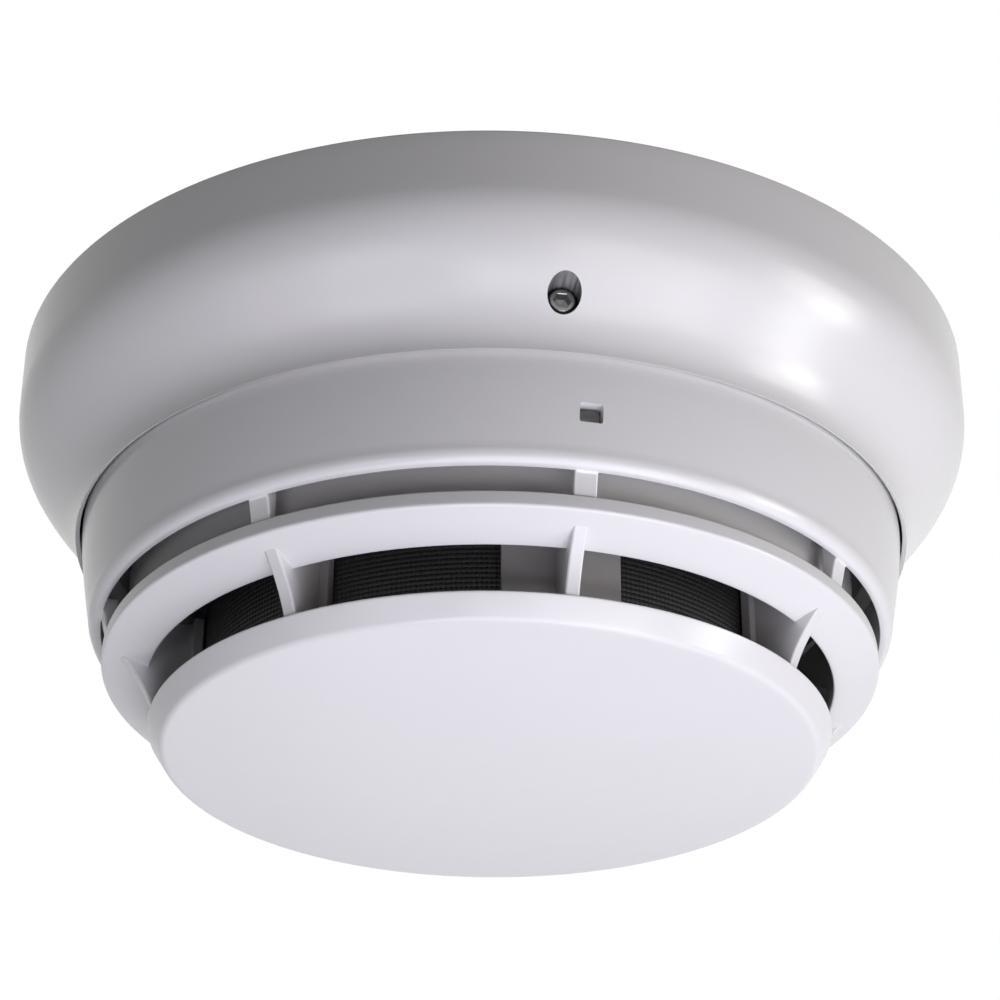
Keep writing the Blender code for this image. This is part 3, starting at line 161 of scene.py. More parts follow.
WINDOW = (3.4, 2.8)  # width and height
WINDOW_CORNER = 0.35
WINDOW_CUT = (60.0, 68.0)  # radii that the window is cut between

# Sensing parts behind the air inlet
SCREEN = (45.0, 45.6, 43.4, 62.6)  # bore, radius, top and foot
SCREEN_COLUMNS = 390
SCREEN_ROWS = 24
SCREEN_WIRE = 0.64  # share of the mesh step that is wire
SENSOR_ANGLES = (112.5, 247.5)
SENSOR_PLACE = 50.75
SENSOR_POST = (1.1, 2.1, 34.1, 53.3)  # bore, radius, top and foot
BEAD_DEPTH = 57.6
BEAD_RADIUS = 1.3
BEAD_SWELL = 0.12  # share by which the bead is fuller below its middle than above it
LEAD_RADIUS = 0.24
LEAD_SPREAD = 0.4
LEAD_END = 0.9  # above the bead's middle, inside it

# Finishes
PLASTIC_IOR = 1.58
WHITE_GLOSS = 0.235  # roughness of the white mouldings: above about 0.27 the denoised render has flecks
WHITE_GRAIN = 2600.0
WHITE_RELIEF = 0.02
INLET_SHADE_START = 55.0  # radius where painted shade starts on the walls of the air inlet
INLET_SHADE_FADE = 8.0  # how much further in it is darkest
HOLE_SHADE_AND_GRIME = 2.45  # how far from the lock hole's axis its painted shade and grime reach
STREAK_LENGTH = 12.0  # how much longer than wide the streaks of painted shade and grime are

# Light
LAMP_AIM = 35.0  # depth of the place that all lamps face
SURROUND_LIGHT = 0.03  # share of its brightness that the white surround casts on the part

# The photograph's camera, in the part's frame
PHOTO_TURN = -12.4
CAMERA_DISTANCE = 380.4
CAMERA_DEPTH = 223.9
CAMERA_PITCH = 28.45
CAMERA_YAW = 0.21
CAMERA_ROLL = 0.34
CAMERA_LENS = 94.64
CAMERA_SENSOR = 36.0


def softened(corners, steps=6):
    """Closed outline whose (radius, depth, round) corners are eased.

    Each corner becomes the quadratic curve that starts its round before the corner on the side
    that comes in and ends the same way past it on the side that goes out.
    """
    corner = np.array([item[:2] for item in corners], float)
    size = np.array([item[2] for item in corners], float)[:, None]
    back = np.roll(corner, 1, axis=0) - corner
    ahead = np.roll(corner, -1, axis=0) - corner
    back_length = np.linalg.norm(back, axis=1, keepdims=True)
    ahead_length = np.linalg.norm(ahead, axis=1, keepdims=True)
    reach = np.minimum(size, 0.45 * np.minimum(back_length, ahead_length))
    start = corner + back / back_length * reach
    end = corner + ahead / ahead_length * reach
    t = np.linspace(0.0, 1.0, steps + 1)[None, :, None]
    curve = (1 - t) ** 2 * start[:, None] + 2 * t * (1 - t) * corner[:, None] + t**2 * end[:, None]
    points = curve.reshape(-1, 2)
    apart = np.linalg.norm(points - np.roll(points, 1, axis=0), axis=1) > 1e-6
    return points[apart]


def divided(points, step=SIDE_STEP, closed=True):
    """The same outline with its long sides cut into equal lengths no longer than the step."""
    ahead = np.roll(points, -1, axis=0)
    if not closed:
        ahead[-1] = points[-1]
    counts = np.maximum(1, np.ceil(np.linalg.norm(ahead - points, axis=1) / step)).astype(int)
    first = np.repeat(np.cumsum(counts) - counts, counts)
    share = (np.arange(counts.sum()) - first) / np.repeat(counts, counts)
    run = np.repeat(ahead - points, counts, axis=0)
    return np.repeat(points, counts, axis=0) + run * share[:, None]


def grid_faces(rows, columns, wrap_rows, wrap_columns):
    """Corner numbers of a grid's four-sided faces, joined end to end where it wraps."""
    row = np.arange(rows if wrap_rows else rows - 1)[:, None]
    column = np.arange(columns if wrap_columns else columns - 1)[None, :]
    next_row = (row + 1) % rows * columns
    next_column = (column + 1) % columns
    this_row = row * columns
    near = (this_row + column, this_row + next_column)
    far = (next_row + next_column, next_row + column)
    return np.stack([*near, *far], axis=-1).reshape(-1, 4).tolist()


def about_axis(points, angle):
    """Points turned about the detector's axis."""
    a = math.radians(angle)
    c, s = math.cos(a), math.sin(a)
    return points @ np.array([[c, s, 0.0], [-s, c, 0.0], [0.0, 0.0, 1.0]])


def turned(outline, steps=ROUND_STEPS, closed=True):
    """Outline carried once round the axis.

    Radius r and depth d at angle a give the point (r sin a, -r cos a, -d).
    """
    a = np.linspace(0.0, 2 * np.pi, steps, endpoint=False)[:, None]
    r, d = outline[None, :, 0], outline[None, :, 1]
    points = np.stack([r * np.sin(a), -r * np.cos(a), -d + 0 * a], axis=-1)
    return points.reshape(-1, 3), grid_faces(steps, len(outline), True, closed)


def arc(outline, start, end, steps):
    """Outline carried from one angle round the axis to another, closed at both ends."""
    a = np.radians(np.linspace(start, end, steps + 1))[:, None]
    r, d = outline[None, :, 0], outline[None, :, 1]
    points = np.stack([r * np.sin(a), -r * np.cos(a), -d + 0 * a], axis=-1).reshape(-1, 3)
    count = len(outline)
    ends = [list(range(count)), list(range(steps * count, (steps + 1) * count))]
    return points, grid_faces(steps + 1, count, False, True) + ends


def between(pair, angle):
    """Solid between two copies of an outline, closed at both and turned about the axis."""
    count = pair.shape[1]
    ends = [list(range(count)), list(range(count, 2 * count))]
    return about_axis(pair.reshape(-1, 3), angle), grid_faces(2, count, False, True) + ends


def slab(outline, width, angle):
    """Outline in the radial plane at an angle, carried straight across by the width."""
    x = np.array([-width / 2, width / 2])[:, None]
    r, d = outline[None, :, 0], outline[None, :, 1]
    return between(np.stack([x + 0 * r, -r + 0 * x, -d + 0 * x], axis=-1), angle)


def bar(outline, place, ends, angle):
    """Plan outline in (x, y) about a place on the front radius, carried down between two depths."""
    d = np.array(ends)[:, None]
    x, y = outline[None, :, 0], outline[None, :, 1] - place
    return between(np.stack([x + 0 * d, y + 0 * d, -d + 0 * x], axis=-1), angle)


def plug(outline, depth, ends, angle):
    """Outline in (x, rise) about a depth, carried outwards between two radii."""
    r = np.array(ends)[:, None]
    x, rise = outline[None, :, 0], outline[None, :, 1]
    return between(np.stack([x + 0 * r, -r + 0 * x, rise - depth + 0 * r], axis=-1), angle)


def ring_points(radius, steps=SMALL_STEPS):
    """Points of a circle in the plane."""
    t = np.linspace(0.0, 2 * np.pi, steps, endpoint=False)
    return np.stack([radius * np.cos(t), radius * np.sin(t)], axis=-1)


def rectangle(width, height, corner):
    """Rectangle about the origin with eased corners."""
    x, y = width / 2, height / 2
    return softened([(-x, -y, corner), (x, -y, corner), (x, y, corner), (-x, y, corner)])


def capsule(near, far, width, steps=16):
    """Round-ended slot that runs outwards along -Y."""
    t = np.linspace(0.0, np.pi, steps + 1)
    half = width / 2
    outer = np.stack([half * np.cos(np.pi + t), -far + half * np.sin(np.pi + t)], axis=-1)
    inner = np.stack([half * np.cos(t), -near + half * np.sin(t)], axis=-1)
    return np.concatenate([outer, inner])


def tube(bore, radius, top, foot, ease):
    """Eased section of a plain tube."""
    corners = [(bore, top, ease), (radius, top, ease), (radius, foot, ease), (bore, foot, ease)]
    return softened(corners, steps=3)


def together(shapes):
    """Several shapes as one, each keeping its own faces."""
    faces = []
    start = 0
    for points, own_faces in shapes:
        faces += [[corner + start for corner in face] for face in own_faces]
        start += len(points)
    return np.concatenate([points for points, own_faces in shapes]), faces


def shaded(mesh, sharp):
    """Smooth shading, broken at edges that turn more than the sharp angle."""
    mesh.shade_smooth()
    mesh.set_sharp_from_angle(angle=math.radians(sharp))


def made(name, shape, sharp=SHARP_ANGLE):
    """Object of a shape in millimetres, its poles merged and its faces turned outwards."""
    points, faces = shape
    mesh = bpy.data.meshes.new(name)
    mesh.from_pydata((points * MM).tolist(), [], faces)
    bm = bmesh.new()
    bm.from_mesh(mesh)
    bmesh.ops.remove_doubles(bm, verts=bm.verts, dist=1e-8)
    bmesh.ops.recalc_face_normals(bm, faces=bm.faces)
    bm.to_mesh(mesh)
    bm.free()
    shaded(mesh, sharp)
    obj = bpy.data.objects.new(name, mesh)
    bpy.context.scene.collection.objects.link(obj)
    return obj


def cut(obj, shapes, sharp=SHARP_ANGLE):
    """Take the shapes out of the object."""
    tool = made(f"{obj.name}_tool", together(shapes))
    modifier = obj.modifiers.new("cut", "BOOLEAN")
    modifier.operation = "DIFFERENCE"
    modifier.solver = "EXACT"
    modifier.object = tool
    graph = bpy.context.evaluated_depsgraph_get()
    mesh = bpy.data.meshes.new_from_object(obj.evaluated_get(graph))
    obj.modifiers.clear()
    old = obj.data
    obj.data = mesh
    bpy.data.meshes.remove(old)
    bpy.data.meshes.remove(tool.data)
    shaded(mesh, sharp)


def ease_edges(obj, width, steps=3):
    """Round the edges of a blocky piece."""
    bevel = obj.modifiers.new("eased_edges", "BEVEL")
    bevel.width = width * MM
    bevel.segments = steps
    bevel.limit_method = "ANGLE"
    bevel.angle_limit = math.radians(EASE_ANGLE)
    bevel.harden_normals = False


def shoulder(inset_top, inset_lip, steps):
    """Ogee of the base: a cubic curve that leaves the rim and meets the lip running straight down."""
    t = np.linspace(0.0, 1.0, steps + 1)
    shares = np.stack([(1 - t) ** 3, 3 * t * (1 - t) ** 2, 3 * t**2 * (1 - t), t**3], axis=-1)
    handles = np.array(
        [
            (BASE_RADIUS, RIM_DEPTH),
            (BASE_RADIUS, RIM_DEPTH + SHOULDER_PULL),
            (LIP_RADIUS, LIP_DEPTH - LIP_PULL),
            (LIP_RADIUS, LIP_DEPTH),
        ]
    )
    curve = shares @ handles
    curve[:, 0] -= inset_top + (inset_lip - inset_top) * t
    return curve


def skirt_radius(depth):
    """Outer radius of the skirt, which tapers faster towards its foot."""
    part = np.maximum(0.0, depth - LIP_DEPTH) / (FOOT_DEPTH - FOOT_ROUND - LIP_DEPTH)
    return SKIRT_RADIUS - SKIRT_TAPER * part**SKIRT_BOW


def cap_depth(radius):
    """Depth of the cap's domed face, which falls off with the square of the radius."""
    return CAP_EDGE_DEPTH + CAP_CROWN * (1 - (radius / CAP_FACE) ** 2)


def ring_face(radius):
    """Depth of the ring's dished face, which falls evenly from its rim to its bore."""
    part = (RING_RADIUS - radius) / (RING_RADIUS - RING_BORE)
    return RING_DEPTH + (RING_FACE_DEPTH - RING_DEPTH) * part


def plain(points):
    """Outline points as corners that stay sharp."""
    return [(radius, depth, 0.0) for radius, depth in points]


def base_shell():
    """Flared wall and ceiling plate, with the box slots and the locking screw's hole cut through."""
    inner_wall = BASE_RADIUS - BASE_WALL
    lip = [(LIP_RADIUS, LIP_DEPTH, 0.12), (LIP_BORE, LIP_DEPTH - LIP_BEVEL, 0.12)]
    corners = [
        (CABLE_ENTRY, 0.0, 0.3),
        (BASE_RADIUS, 0.0, 0.4),
        *plain(shoulder(0.0, 0.0, 48)[:-1]),
        *lip,
        *plain(shoulder(BASE_WALL, LIP_RADIUS - LIP_BORE, 20)[-3::-1]),
        (inner_wall, PLATE, 0.8),
        (CABLE_ENTRY, PLATE, 0.3),
    ]
    shell = made("base_shell", turned(divided(softened(corners), step=2.5)))
    through = (-CUT_PAST, PLATE + CUT_PAST)
    slots = [bar(capsule(*BOX_SLOT), 0.0, through, angle) for angle in BOX_SLOT_ANGLES]
    reach = (LOCK_BOSS_FACE, BASE_RADIUS + CUT_PAST)
    hole = plug(ring_points(LOCK_HOLE), LOCK_DEPTH, reach, LOCK_ANGLE)
    cut(shell, [*slots, hole])
    return shell


def base_fittings():
    """Bayonet collar with its ledges and stops, the terminal bosses and the locking screw's boss."""
    bore, radius, foot = COLLAR
    shapes = [turned(divided(tube(bore, radius, FITTING_TOP, foot, ease=0.3), step=4.0))]
    for angle in BAYONET_ANGLES:
        for section, span, steps in ((LEDGE, LEDGE_SPAN, 16), (STOP, STOP_SPAN, 6)):
            start, end = span
            shapes.append(arc(tube(*section, ease=0.2), angle + start, angle + end, steps))
    t = np.linspace(0.0, 2 * np.pi, SMALL_STEPS, endpoint=False)[:, None]
    side = TERMINAL_BOSS / 2 / np.maximum(np.abs(np.cos(t)), np.abs(np.sin(t)))
    reach = np.concatenate([side, side, 0 * side + SCREW_HOLE, 0 * side + SCREW_HOLE], axis=1)
    depth = np.array([[FITTING_TOP, BOSS_FOOT, BOSS_FOOT, FITTING_TOP]]) + 0 * t
    block = np.stack([reach * np.cos(t), reach * np.sin(t) - TERMINAL_PLACE, -depth], axis=-1)
    for angle in TERMINAL_ANGLES:
        points = about_axis(block.reshape(-1, 3), angle)
        shapes.append((points, grid_faces(SMALL_STEPS, 4, True, True)))
    shapes.append(lock_boss())
    return made("base_fittings", together(shapes))


def lock_boss():
    """Tube round the locking screw whose outer end follows the inside of the shoulder."""
    t = np.linspace(0.0, 2 * np.pi, SMALL_STEPS, endpoint=False)[:, None]
    width = np.array([[LOCK_BOSS, LOCK_BOSS, LOCK_BOSS_BORE, LOCK_BOSS_BORE]])
    rise = width * np.sin(t)
    curve = shoulder(*LOCK_BOSS_INSET, steps=48)
    wall = np.interp(LOCK_DEPTH - rise, curve[:, 1], curve[:, 0])
    outer = np.array([[False, True, True, False]])
    out = np.where(outer, wall, LOCK_BOSS_FACE)
    points = np.stack([width * np.cos(t), -out, rise - LOCK_DEPTH], axis=-1).reshape(-1, 3)
    return about_axis(points, LOCK_ANGLE), grid_faces(SMALL_STEPS, 4, True, True)


def lock_screw():
    """Set screw: a helical thread round the shank, a cone point, and a six-sided socket in its end.

    Stations run from the point out along the thread, over the end and down into the socket. On the
    thread the radius falls by a triangle wave of (length / pitch + turn), and in the socket it
    changes from a circle to a hexagon.
    """
    radius, inner, outer = LOCK_SCREW
    t = np.linspace(0.0, 2 * np.pi, SMALL_STEPS, endpoint=False)[:, None]
    run = np.linspace(inner + LOCK_POINT, outer - LOCK_END, 60)[None, :]
    wave = (run / LOCK_THREAD + t / (2 * np.pi)) % 1.0
    thread = radius - LOCK_THREAD_DEPTH * np.abs(2 * wave - 1.0)
    hexagon = LOCK_SOCKET * math.cos(math.pi / 6) / np.cos((t % (np.pi / 3)) - np.pi / 6)
    lead_width, lead_depth = SOCKET_LEAD
    side, floor = SOCKET_DEPTH
    edge = radius - LOCK_CHAMFER
    point = [0 * t, 0 * t + radius / 2]
    end = [0 * t + edge, 0 * t + edge - LOCK_RIM]
    socket = [hexagon + lead_width, hexagon, hexagon, 0 * t]
    reach = np.concatenate([*point, thread, *end, *socket], axis=1)
    over_end = [outer - LOCK_RIM, outer, outer, outer - lead_depth, outer - side, outer - floor]
    out = np.array([[inner, inner, *run[0], *over_end]]) + 0 * t
    points = np.stack([reach * np.cos(t), -out, reach * np.sin(t) - LOCK_DEPTH], axis=-1)
    faces = grid_faces(SMALL_STEPS, reach.shape[1], True, False)
    return made("set_screw", (about_axis(points.reshape(-1, 3), LOCK_ANGLE), faces))


def cover_skirt():
    """Skirt with its neck inside the base, its status window, hook slots and screw notch.

    The foot turns in along a quarter of an ellipse.
    """
    across, up = FOOT_EASE
    depth = np.linspace(LIP_DEPTH, FOOT_DEPTH - up, 16)
    outside = np.stack([skirt_radius(depth), depth], axis=-1)
    t = np.linspace(0.0, np.pi / 2, 13)
    turn_radius = outside[-1, 0] - across * (1 - np.cos(t))
    turn = np.stack([turn_radius, FOOT_DEPTH - up * (1 - np.sin(t))], axis=-1)
    inside = SKIRT_RADIUS - SKIRT_TAPER - COVER_WALL
    neck_end, skirt_start, neck_end_inside = NECK_STEP
    corners = [
        (NECK_RADIUS, NECK_DEPTH, 0.2),
        (NECK_RADIUS, neck_end, 0.3),
        (SKIRT_RADIUS, skirt_start, 0.3),
        *plain(outside[:-1]),
        *plain(turn),
        (inside, FOOT_DEPTH, 0.2),
        *plain((outside - [COVER_WALL, 0.0])[-3::-2]),
        (NECK_RADIUS - COVER_WALL, neck_end_inside, 0.3),
        (NECK_RADIUS - COVER_WALL, NECK_DEPTH, 0.2),
    ]
    skirt = made("cover_skirt", turned(divided(softened(corners, steps=8), step=1.2)))
    width, length, top, foot = HOOK_SLOT
    slot = rectangle(width, length, CUT_CORNER)
    slots = [bar(slot, NECK_RADIUS - COVER_WALL / 2, (top, foot), angle) for angle in HOOK_ANGLES]
    window = plug(rectangle(*WINDOW, WINDOW_CORNER), WINDOW_DEPTH, WINDOW_CUT, 0.0)
    radius, start, end = SCREW_NOTCH
    notch = plug(ring_points(radius), LOCK_DEPTH, (start, end), LOCK_ANGLE)
    cut(skirt, [*slots, window, notch])
    return skirt


def cover_ring():
    """Dished ring under the upper slot, and its upright web, notched for the light pipe."""
    bore, radius, top = WEB
    corners = [
        (*RING_TOP, 0.3),
        (RING_RADIUS, RING_DEPTH, 0.45),
        (RING_BORE, RING_FACE_DEPTH, 0.5),
        (RING_BORE, RING_FACE_DEPTH - RING_WALL, 0.4),
        (bore, ring_face(bore) - RING_WALL, 0.6),
        (bore, top, 0.3),
        (radius, top, 0.3),
        (radius, RING_TOP[1], 0.4),
    ]
    ring = made("cover_ring", turned(divided(softened(corners, steps=8), step=0.9)))
    width, length, foot = WEB_NOTCH
    notch = rectangle(width, length, CUT_CORNER)
    cut(ring, [bar(notch, WEB_MIDDLE, (top - CUT_PAST, foot), 0.0)])
    return ring


def cover_cap():
    """Domed cap with its conical band, and the rib inside it that carries the chamber."""
    dome = np.linspace(0.0, CAP_FACE, 30)[:-1]
    bore, radius, top = SEAT_RIB
    edge = CAP_RADIUS - CAP_RIM
    face = edge - CAP_COVE
    corners = [
        *plain(np.stack([dome, cap_depth(dome)], axis=-1)),
        (CAP_FACE, CAP_EDGE_DEPTH, 0.75),
        (CAP_RADIUS, CAP_DEPTH, 0.5),
        (edge, CAP_DEPTH, 0.3),
        (face, cap_depth(face) - CAP_WALL, 0.6),
        (radius, cap_depth(radius) - CAP_WALL, 0.3),
        (radius, top, 0.2),
        (bore, top, 0.2),
        (bore, cap_depth(bore) - CAP_WALL, 0.3),
        (0.0, cap_depth(0.0) - CAP_WALL, 0.0),
    ]
    outline = softened(corners, steps=8)
    first = int(np.argmax(outline[:, 1] * (outline[:, 0] < 1e-6)))
    outline = divided(np.roll(outline, -first, axis=0), step=1.2, closed=False)
    return made("cover_cap", turned(outline, closed=False))


def fin_outline():
    """Fin in its radial plane: its free edge is a curve drawn in a little between cap and ring."""
    toe = np.array([FIN_REACH, ring_face(FIN_REACH) - RING_WALL / 2])
    inwards, down = FIN_SINK
    heel = np.array([CAP_RADIUS - inwards, CAP_DEPTH + down])
    middle = (toe + heel) / 2 - [FIN_HOLLOW, FIN_HOLLOW / 2]
    pull = 2 * middle - (toe + heel) / 2
    t = np.linspace(0.0, 1.0, 13)[:, None]
    edge = (1 - t) ** 2 * heel + 2 * t * (1 - t) * pull + t**2 * toe
    floor = cap_depth(FIN_ROOT) - CAP_WALL / 2
    web = [(WEB_MIDDLE, toe[1]), (WEB_MIDDLE, FIN_TOP), (FIN_ROOT, FIN_TOP)]
    bed = [(FIN_ROOT, floor), (CAP_FACE - inwards, floor), (CAP_FACE, CAP_DEPTH + FIN_BED)]
    return np.concatenate([edge, np.array([*web, *bed])])


def cover_fins():
    """Eight radial fins that carry the cap."""
    outline = fin_outline()
    fins = made("cover_fins", together([slab(outline, FIN_WIDTH, angle) for angle in FIN_ANGLES]))
    ease_edges(fins, FIN_EASE)
    return fins


def cover_bridges():
    """Short ribs across the upper slot, from the skirt's foot to the ring's rim."""
    lip = SKIRT_RADIUS - SKIRT_TAPER - COVER_WALL
    rim = np.interp(BRIDGE_FOOT, (RING_TOP[1], RING_DEPTH), (RING_TOP[0], RING_RADIUS))
    above, below = BRIDGE_TOE
    outline = np.array(
        [
            (BRIDGE_BACK, BRIDGE_TOP),
            (lip + BRIDGE_SINK, BRIDGE_TOP),
            (lip + BRIDGE_SINK, FOOT_DEPTH - above),
            (lip, FOOT_DEPTH + below),
            (rim - BRIDGE_SETBACK, BRIDGE_FOOT),
            (BRIDGE_BACK, BRIDGE_FOOT),
        ]
    )
    shapes = [slab(outline, BRIDGE_WIDTH, angle) for angle in FIN_ANGLES]
    bridges = made("cover_bridges", together(shapes))
    ease_edges(bridges, BRIDGE_EASE)
    return bridges


def cover_posts():
    """Upright posts at the fins' inner edges, the front one a wide panel."""
    bore, radius = POST
    outline = tube(bore, radius, POST_TOP, cap_depth(radius) - CAP_WALL / 3, ease=0.25)
    shapes = []
    for angle in FIN_ANGLES:
        half = math.degrees((POST_WIDTH if angle else FRONT_POST_WIDTH) / 2 / radius)
        shapes.append(arc(outline, angle - half, angle + half, 4 if angle else 12))
    posts = made("cover_posts", together(shapes))
    ease_edges(posts, POST_EASE)
    return posts


def screen_sleeve():
    """Fine mesh sleeve: a grid round the axis whose steps are wire and hole by turns.

    Angle and depth both run in pairs of a wire and a hole, and the faces where hole meets hole are
    left out before the sheet gets its thickness.
    """
    bore, radius, top, foot = SCREEN
    column = np.arange(SCREEN_COLUMNS * 2)
    a = (column // 2 + (column % 2) * SCREEN_WIRE)[:, None] * 2 * np.pi / SCREEN_COLUMNS
    row = np.arange(SCREEN_ROWS * 2 + 2)
    d = (row // 2 + (row % 2) * SCREEN_WIRE)[None, :]
    d = top + (foot - top) * d / d.max()
    x, y = radius * np.sin(a), -radius * np.cos(a)
    points = np.stack([x + 0 * d, y + 0 * d, -d + 0 * a], axis=-1)
    faces = np.array(grid_faces(len(column), len(row), True, False))
    faces = faces.reshape(len(column), len(row) - 1, 4)
    wire = (column[:, None] % 2 == 0) | (row[None, :-1] % 2 == 0)
    sleeve = made("screen_sleeve", (points.reshape(-1, 3), faces[wire].tolist()))
    wall = sleeve.modifiers.new("wire_thickness", "SOLIDIFY")
    wall.thickness = (radius - bore) * MM
    wall.offset = -1.0
    return sleeve


def sensor_tube(name, angle):
    """Plain eased tube that guards a heat sensor's leads."""
    outline = divided(tube(*SENSOR_POST, ease=0.25), step=2.0)
    points, faces = turned(outline, SMALL_STEPS)
    return made(name, (about_axis(points - [0.0, SENSOR_PLACE, 0.0], angle), faces))


def sensor_bead(name, angle):
    """Glass-like bead on two leads: a drop turned about its own axis, and two thin round wires."""
    s = np.linspace(0.0, np.pi, 25)
    reach = BEAD_RADIUS * np.sin(s) * (1 - BEAD_SWELL * np.cos(s))
    reach[[0, -1]] = 0.0
    drop = np.stack([reach, BEAD_DEPTH - BEAD_RADIUS * np.cos(s)], axis=-1)
    bead = turned(drop, SMALL_STEPS, closed=False)
    top = SENSOR_POST[2]
    end = BEAD_DEPTH - LEAD_END
    wire = np.array([(0.0, top), (LEAD_RADIUS, top), (LEAD_RADIUS, end), (0.0, end)])
    points, faces = turned(divided(wire, step=2.0, closed=False), 16, closed=False)
    leads = [(points + [side, 0.0, 0.0], faces) for side in (LEAD_SPREAD, -LEAD_SPREAD)]
    points, faces = together([bead, *leads])
    return made(name, (about_axis(points - [0.0, SENSOR_PLACE, 0.0], angle), faces))


class Signal:
    """A shader value that takes part in Python sums: each operator adds one Math node."""

    def __init__(self, tree, socket):
        self.tree = tree
        self.socket = socket

    def math(self, operation, first, second):
        node = self.tree.nodes.new("ShaderNodeMath")
        node.operation = operation
        for place, value in zip(node.inputs, (first, second)):
            if isinstance(value, Signal):
                self.tree.links.new(value.socket, place)
            else:
                place.default_value = value
        return Signal(self.tree, node.outputs[0])

    def __add__(self, other):
        return self.math("ADD", self, other)

    def __radd__(self, other):
        return self.math("ADD", other, self)

    def __sub__(self, other):
        return self.math("SUBTRACT", self, other)

    def __rsub__(self, other):
        return self.math("SUBTRACT", other, self)

    def __mul__(self, other):
        return self.math("MULTIPLY", self, other)

    def __rmul__(self, other):
        return self.math("MULTIPLY", other, self)

    def __pow__(self, other):
        return self.math("POWER", self, other)

    def below(self, edge):
        """1 where the value is under the edge, and 0 elsewhere."""
        return self.math("LESS_THAN", self, edge)

    def above(self, edge):
        """1 where the value is over the edge, and 0 elsewhere."""
        return self.math("GREATER_THAN", self, edge)

    def held(self):
        """The value kept between 0 and 1."""
        return self.math("MAXIMUM", self.math("MINIMUM", self, 1.0), 0.0)


class Finish:
    """One procedural material, built node by node."""

    def __init__(self, name):
        self.material = bpy.data.materials.new(name)
        self.material.use_nodes = True
        self.tree = self.material.node_tree
        self.shader = self.tree.nodes["Principled BSDF"]
        self.place = self.node("TexCoord").outputs["Object"]

    def node(self, kind, settings=(), sockets=()):
        """Node of a kind, its settings made first, then the values or links of its sockets."""
        node = self.tree.nodes.new(f"ShaderNode{kind}")
        for name, value in dict(settings).items():
            setattr(node, name, value)
        for name, value in dict(sockets).items():
            self.feed(node.inputs[name], value)
        return node

    def feed(self, socket, value):
        """Set a socket, or link it."""
        if isinstance(value, Signal):
            value = value.socket
        if isinstance(value, bpy.types.NodeSocket):
            self.tree.links.new(value, socket)
        else:
            socket.default_value = value

    def noise(self, scale, detail=3.0, stretch=None):
        """Noise from 0 to 1 on Object coordinates, drawn out where a stretch is given."""
        place = self.place
        if stretch:
            place = self.node("Mapping", {}, {"Vector": place, "Scale": stretch}).outputs[0]
        sockets = {"Vector": place, "Scale": scale, "Detail": detail, "Roughness": 0.55}
        return Signal(self.tree, self.node("TexNoise", {}, sockets).outputs[0])

    def mixed(self, share, first, second):
        """Colour between two others, the first of which may be a socket."""
        if isinstance(first, tuple):
            first = (*first, 1.0)
        sockets = {0: share, 6: first, 7: (*second, 1.0)}
        return self.node("Mix", {"data_type": "RGBA"}, sockets).outputs[2]

    def bump(self, height, strength, distance):
        """Fine relief on the surface."""
        sockets = {"Height": height, "Strength": strength, "Distance": distance * MM}
        self.feed(self.shader.inputs["Normal"], self.node("Bump", {}, sockets).outputs[0])

    def set(self, **sockets):
        """Feed the shader, with spaces in its socket names written as underscores."""
        for name, value in sockets.items():
            self.feed(self.shader.inputs[name.replace("_", " ")], value)


def moulded(name, pale, deep, gloss, grain, relief):
    """Moulded plastic: slow flow marks in the colour, uneven gloss and a fine eroded grain."""
    finish = Finish(name)
    flow = finish.noise(28.0, 4.0)
    speck = finish.noise(420.0, 2.0)
    colour = finish.mixed(0.7 * flow + 0.3 * speck, deep, pale)
    finish.set(Base_Color=colour, Roughness=gloss + 0.06 * (flow - 0.5) + 0.03 * (speck - 0.5))
    finish.set(IOR=PLASTIC_IOR)
    finish.bump(finish.noise(grain, 2.0), relief, 0.02)
    return finish


def white_moulding(name, pale, deep):
    """Smooth white plastic."""
    return moulded(name, pale, deep, WHITE_GLOSS, WHITE_GRAIN, WHITE_RELIEF)


def base_moulding():
    """The base's plastic, with painted shade and grime that gather in streaks along the locking screw's
    hole.
    """
    finish = white_moulding("white_base_moulding", (0.78, 0.775, 0.77), (0.73, 0.725, 0.72))
    sockets = {
        "Vector": finish.place,
        "Location": (0.0, 0.0, -LOCK_DEPTH * MM),
        "Rotation": (0.0, 0.0, math.radians(LOCK_ANGLE)),
        "Scale": (MM, STREAK_LENGTH * MM, MM),
    }
    along_hole = finish.node("Mapping", {"vector_type": "TEXTURE"}, sockets).outputs[0]
    split = finish.node("SeparateXYZ", {}, {0: along_hole})
    across, out, rise = (Signal(finish.tree, socket) for socket in split.outputs)
    noise = finish.node("TexNoise", {}, {"Vector": along_hole, "Scale": 1.6})
    streak = Signal(finish.tree, noise.outputs[0])
    inside = (across * across + rise * rise).below(HOLE_SHADE_AND_GRIME**2) * out.below(0.0)
    bare_colour = finish.shader.inputs["Base Color"].links[0].from_socket
    # Painted shade and grime: inside the lock hole the colour is darkened in streaks towards a
    # near-black grey.
    finish.set(Base_Color=finish.mixed(inside * (1.25 - 0.8 * streak), bare_colour, (0.12, 0.115, 0.115)))
    return finish


def cover_moulding():
    """The cover's plastic, with painted shade on the walls of the air inlet, darker towards the screen.
    """
    finish = white_moulding("white_cover_moulding", (0.79, 0.785, 0.785), (0.74, 0.735, 0.735))
    split = finish.node("SeparateXYZ", {}, {0: finish.place})
    x, y, z = (Signal(finish.tree, socket) for socket in split.outputs)
    radius = (x * x + y * y) ** 0.5
    inlet_shade = ((INLET_SHADE_START * MM - radius) * (1 / (INLET_SHADE_FADE * MM))).held() * z.above(-CAP_DEPTH * MM)
    bare_colour = finish.shader.inputs["Base Color"].links[0].from_socket
    patchy = 0.7 + 0.3 * finish.noise(180.0)
    # Painted shade: the inlet walls are darkened towards grey, patchily, the further in they are.
    finish.set(Base_Color=finish.mixed(inlet_shade * patchy, bare_colour, (0.36, 0.345, 0.345)))
    return finish


